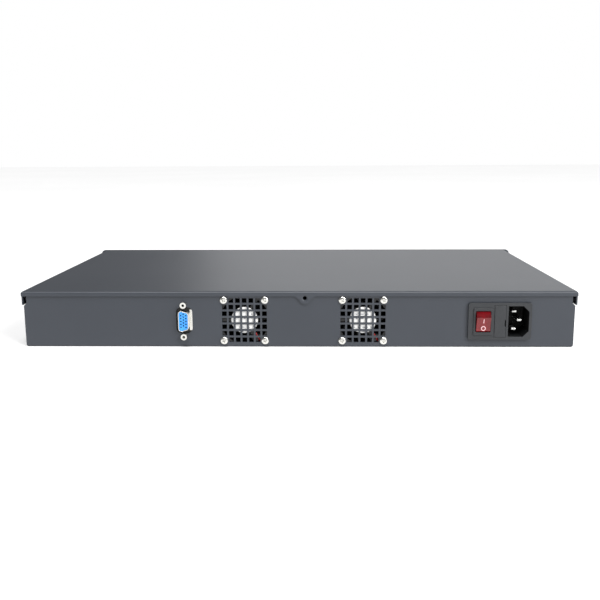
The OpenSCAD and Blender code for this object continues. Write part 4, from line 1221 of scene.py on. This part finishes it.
def can(low, high, steps=32):
    """An electrolytic capacitor: sleeve with a rolled groove near its foot and a scored vent on top."""
    radius, height = (high.x - low.x) / 2, high.z - low.z
    profile = [(0, 0), (radius * 0.96, 0), (radius, height * 0.04), (radius, height * 0.13),
               (radius * 0.93, height * 0.17), (radius, height * 0.21), (radius, height - 0.5 * MM),
               (radius * 0.93, height), (radius * 0.86, height), (radius * 0.84, height - 0.15 * MM),
               (0, height - 0.15 * MM)]
    body = lathe(rounded(profile, 0.25 * MM, 2), steps)
    for turn in (0, math.pi / 2):
        reach = Vector((radius * 0.6, 0.15 * MM, 0))
        low_end, high_end = Vector((0, 0, height - 0.35 * MM)), Vector((0, 0, height + 1 * MM))
        score = cuboid(low_end - reach, high_end + reach)
        body = carved(body, moved(score, Matrix.Rotation(turn, 4, "Z")))
    return moved(body, standing(low, high))


def capacitors(node):
    """All the capacitors of a CAD node as one piece."""
    cans = [can(*box) for box in solid_boxes(node)]
    finish_piece(joined(cans), node, capacitor_sleeve, 40)


def standoff(low, high):
    """A hexagonal brass standoff with a tapped hole in its top."""
    body = hex_nut((high.x - low.x) / 2, high.z - low.z, 1.5 * MM)
    return moved(body, standing(low, high))


class APPLIANCE_OT_main_board(bpy.types.Operator):
    """Make the main board and what stands on it"""

    bl_idname = "appliance.main_board"
    bl_label = "Main Board"

    def execute(self, context):
        refine("mainboard", green_board, 0.1 * MM)
        refine("cpu_heatsink", extruded_aluminium, 0.2 * MM)
        refine("memory_module", green_board, 0.1 * MM)
        refine("board_chips", chip_epoxy, 0.2 * MM)
        refine("board_connectors", white_nylon, 0.2 * MM)
        capacitors("board_capacitors")
        posts = [standoff(*box) for box in solid_boxes("board_standoffs")]
        finish_piece(joined(posts), "board_standoffs", turned_brass, 30)
        low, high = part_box("coin_cell")
        radius, height = (high.x - low.x) / 2, high.z - low.z
        profile = [(0, 0), (radius * 0.86, 0), (radius * 0.88, 0.3 * MM), (radius, 0.5 * MM)]
        cell = lathe(rounded(profile + [(radius, height), (0, height)], 0.3 * MM), 56)
        moved(cell, standing(low, high))
        finish_piece(cell, "coin_cell", tin_plate)
        return {"FINISHED"}


# ---- Power supply ----


class APPLIANCE_OT_power_supply(bpy.types.Operator):
    """Make the power supply"""

    bl_idname = "appliance.power_supply"
    bl_label = "Power Supply"

    def execute(self, context):
        refine("psu_bracket", zinc_plate, 0.15 * MM)
        refine("psu_board", tan_board, 0.1 * MM)
        refine("psu_connectors", white_nylon, 0.3 * MM)
        refine("psu_heatsinks", extruded_aluminium, 0.2 * MM)
        refine("psu_transformer", polyester_tape, 0.8 * MM, 3)
        capacitors("psu_capacitors")
        return {"FINISHED"}


# ---- Drive, leads ----


class APPLIANCE_OT_drive(bpy.types.Operator):
    """Make the drive and its bracket"""

    bl_idname = "appliance.drive"
    bl_label = "Drive"

    def execute(self, context):
        refine("drive_bracket", zinc_plate, 0.15 * MM)
        refine("solid_state_drive", anodised_drive_case, 0.5 * MM, 3)
        return {"FINISHED"}


class APPLIANCE_OT_leads(bpy.types.Operator):
    """Make the leads inside the case"""

    bl_idname = "appliance.leads"
    bl_label = "Leads"

    def execute(self, context):
        leads = {"mains_leads": brown_pvc, "drive_cable": red_pvc, "dc_harness": yellow_pvc}
        for node, maker in leads.items():
            round_lead(cad_copy(node), node, maker)
        return {"FINISHED"}


# ---- Studio ----


def area_light(name, place, target, power, width, height):
    """A soft box that faces a target."""
    light = bpy.data.lights.new(name, "AREA")
    light.shape = "RECTANGLE"
    light.size, light.size_y = width, height
    light.energy = power
    lamp = linked(name, light)
    lamp.location = place
    direction = Vector(target) - Vector(place)
    lamp.rotation_euler = direction.to_track_quat("-Z", "Y").to_euler()
    lamp.visible_camera = False


def studio_camera():
    """The camera behind the case, looking down at its rear panel."""
    options = settings("studio")
    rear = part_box("base_tray")[1].y
    camera = bpy.data.cameras.new("camera")
    camera.lens = options.lens
    camera.sensor_width = 36
    camera.clip_start = 0.01
    camera.clip_end = 50
    holder = linked("camera", camera)
    view = Vector((
        math.sin(options.yaw) * math.cos(options.pitch),
        -math.cos(options.yaw) * math.cos(options.pitch),
        -math.sin(options.pitch),
    ))
    turn = view.to_track_quat("-Z", "Y").to_matrix() @ Matrix.Rotation(options.roll, 3, "Z")
    place = Matrix.Translation((options.sideways, rear + options.distance, options.height))
    holder.matrix_world = place @ turn.to_4x4()
    bpy.context.scene.camera = holder


class APPLIANCE_OT_studio(bpy.types.Operator):
    """Set up the floor, the lights and the camera"""

    bl_idname = "appliance.studio"
    bl_label = "Studio"

    def execute(self, context):
        options = settings("studio")
        studio_camera()
        bm = bmesh.new()
        bmesh.ops.create_grid(bm, x_segments=2, y_segments=2, size=FLOOR_WIDTH / 2)
        floor = linked("floor", mesh_of(bm, "floor"))
        floor.data.materials.append(finish_of(pale_floor))
        floor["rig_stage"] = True
        world = bpy.data.worlds.new("studio")
        world.use_nodes = True
        tree = world.node_tree
        seen = add(tree, "ShaderNodeLightPath").outputs["Is Camera Ray"]
        strength = {"Value": seen, "To Min": options.sky, "To Max": 1.0}
        strength = add(tree, "ShaderNodeMapRange", strength).outputs["Result"]
        background = tree.nodes["Background"]
        background.inputs["Color"].default_value = (1, 1, 1, 1)
        tree.links.new(strength, background.inputs["Strength"])
        context.scene.world = world
        context.scene.view_settings.view_transform = "Standard"
        ceiling = bpy.data.lights.new("ceiling", "SUN")
        ceiling.energy = options.overhead
        ceiling.angle = math.radians(35)  # wide, so its shadows are soft
        panels = linked("ceiling", ceiling)
        panels.rotation_euler.x = math.radians(-25)  # from above the rear
        area_light("key", (-1.83, 1.9, 1.5), (0, 0.12, 0.02), options.key, width=1.2, height=1.2)
        area_light("far side", (-0.4, -1.7, 0.65), (-0.1, 0, 0.03), options.far_side, width=1.6, height=0.7)
        return {"FINISHED"}


# ---- Panel and registration ----


class APPLIANCE_PT_panel(bpy.types.Panel):
    """Lists the operators and the settings."""

    bl_idname = "APPLIANCE_PT_panel"
    bl_label = "Network Appliance"
    bl_space_type = "VIEW_3D"
    bl_region_type = "UI"
    bl_category = "Appliance"

    def draw(self, context):
        for operator in OPERATORS:
            self.layout.operator(operator.bl_idname)
        for group in SETTINGS:
            box = self.layout.box()
            box.label(text=group.capitalize())
            for name in SETTINGS[group].__annotations__:
                box.prop(settings(group), name)


OPERATORS = (
    APPLIANCE_OT_studio,
    APPLIANCE_OT_case,
    APPLIANCE_OT_screws,
    APPLIANCE_OT_fans,
    APPLIANCE_OT_display_port,
    APPLIANCE_OT_mains_inlet,
    APPLIANCE_OT_front_ports,
    APPLIANCE_OT_main_board,
    APPLIANCE_OT_power_supply,
    APPLIANCE_OT_drive,
    APPLIANCE_OT_leads,
)


def register():
    """Registers the classes and keeps the settings on the scene."""
    for cls in (*SETTINGS.values(), *OPERATORS, APPLIANCE_PT_panel):
        bpy.utils.register_class(cls)
    for group, cls in SETTINGS.items():
        setattr(bpy.types.Scene, "appliance_" + group, bpy.props.PointerProperty(type=cls))


def unregister():
    """Takes the settings and the classes away again."""
    for group in SETTINGS:
        delattr(bpy.types.Scene, "appliance_" + group)
    for cls in (APPLIANCE_PT_panel, *reversed(OPERATORS), *reversed(SETTINGS.values())):
        bpy.utils.unregister_class(cls)


def main():
    """Builds the stage and every piece."""
    register()
    for operator in OPERATORS:
        group, name = operator.bl_idname.split(".")
        getattr(getattr(bpy.ops, group), name)()
    boxes = {"cad": CAD_BOX, "visual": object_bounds()}
    boxes = {name: [list(corner) for corner in box] for name, box in boxes.items()}


if __name__ == "__main__":
    main()
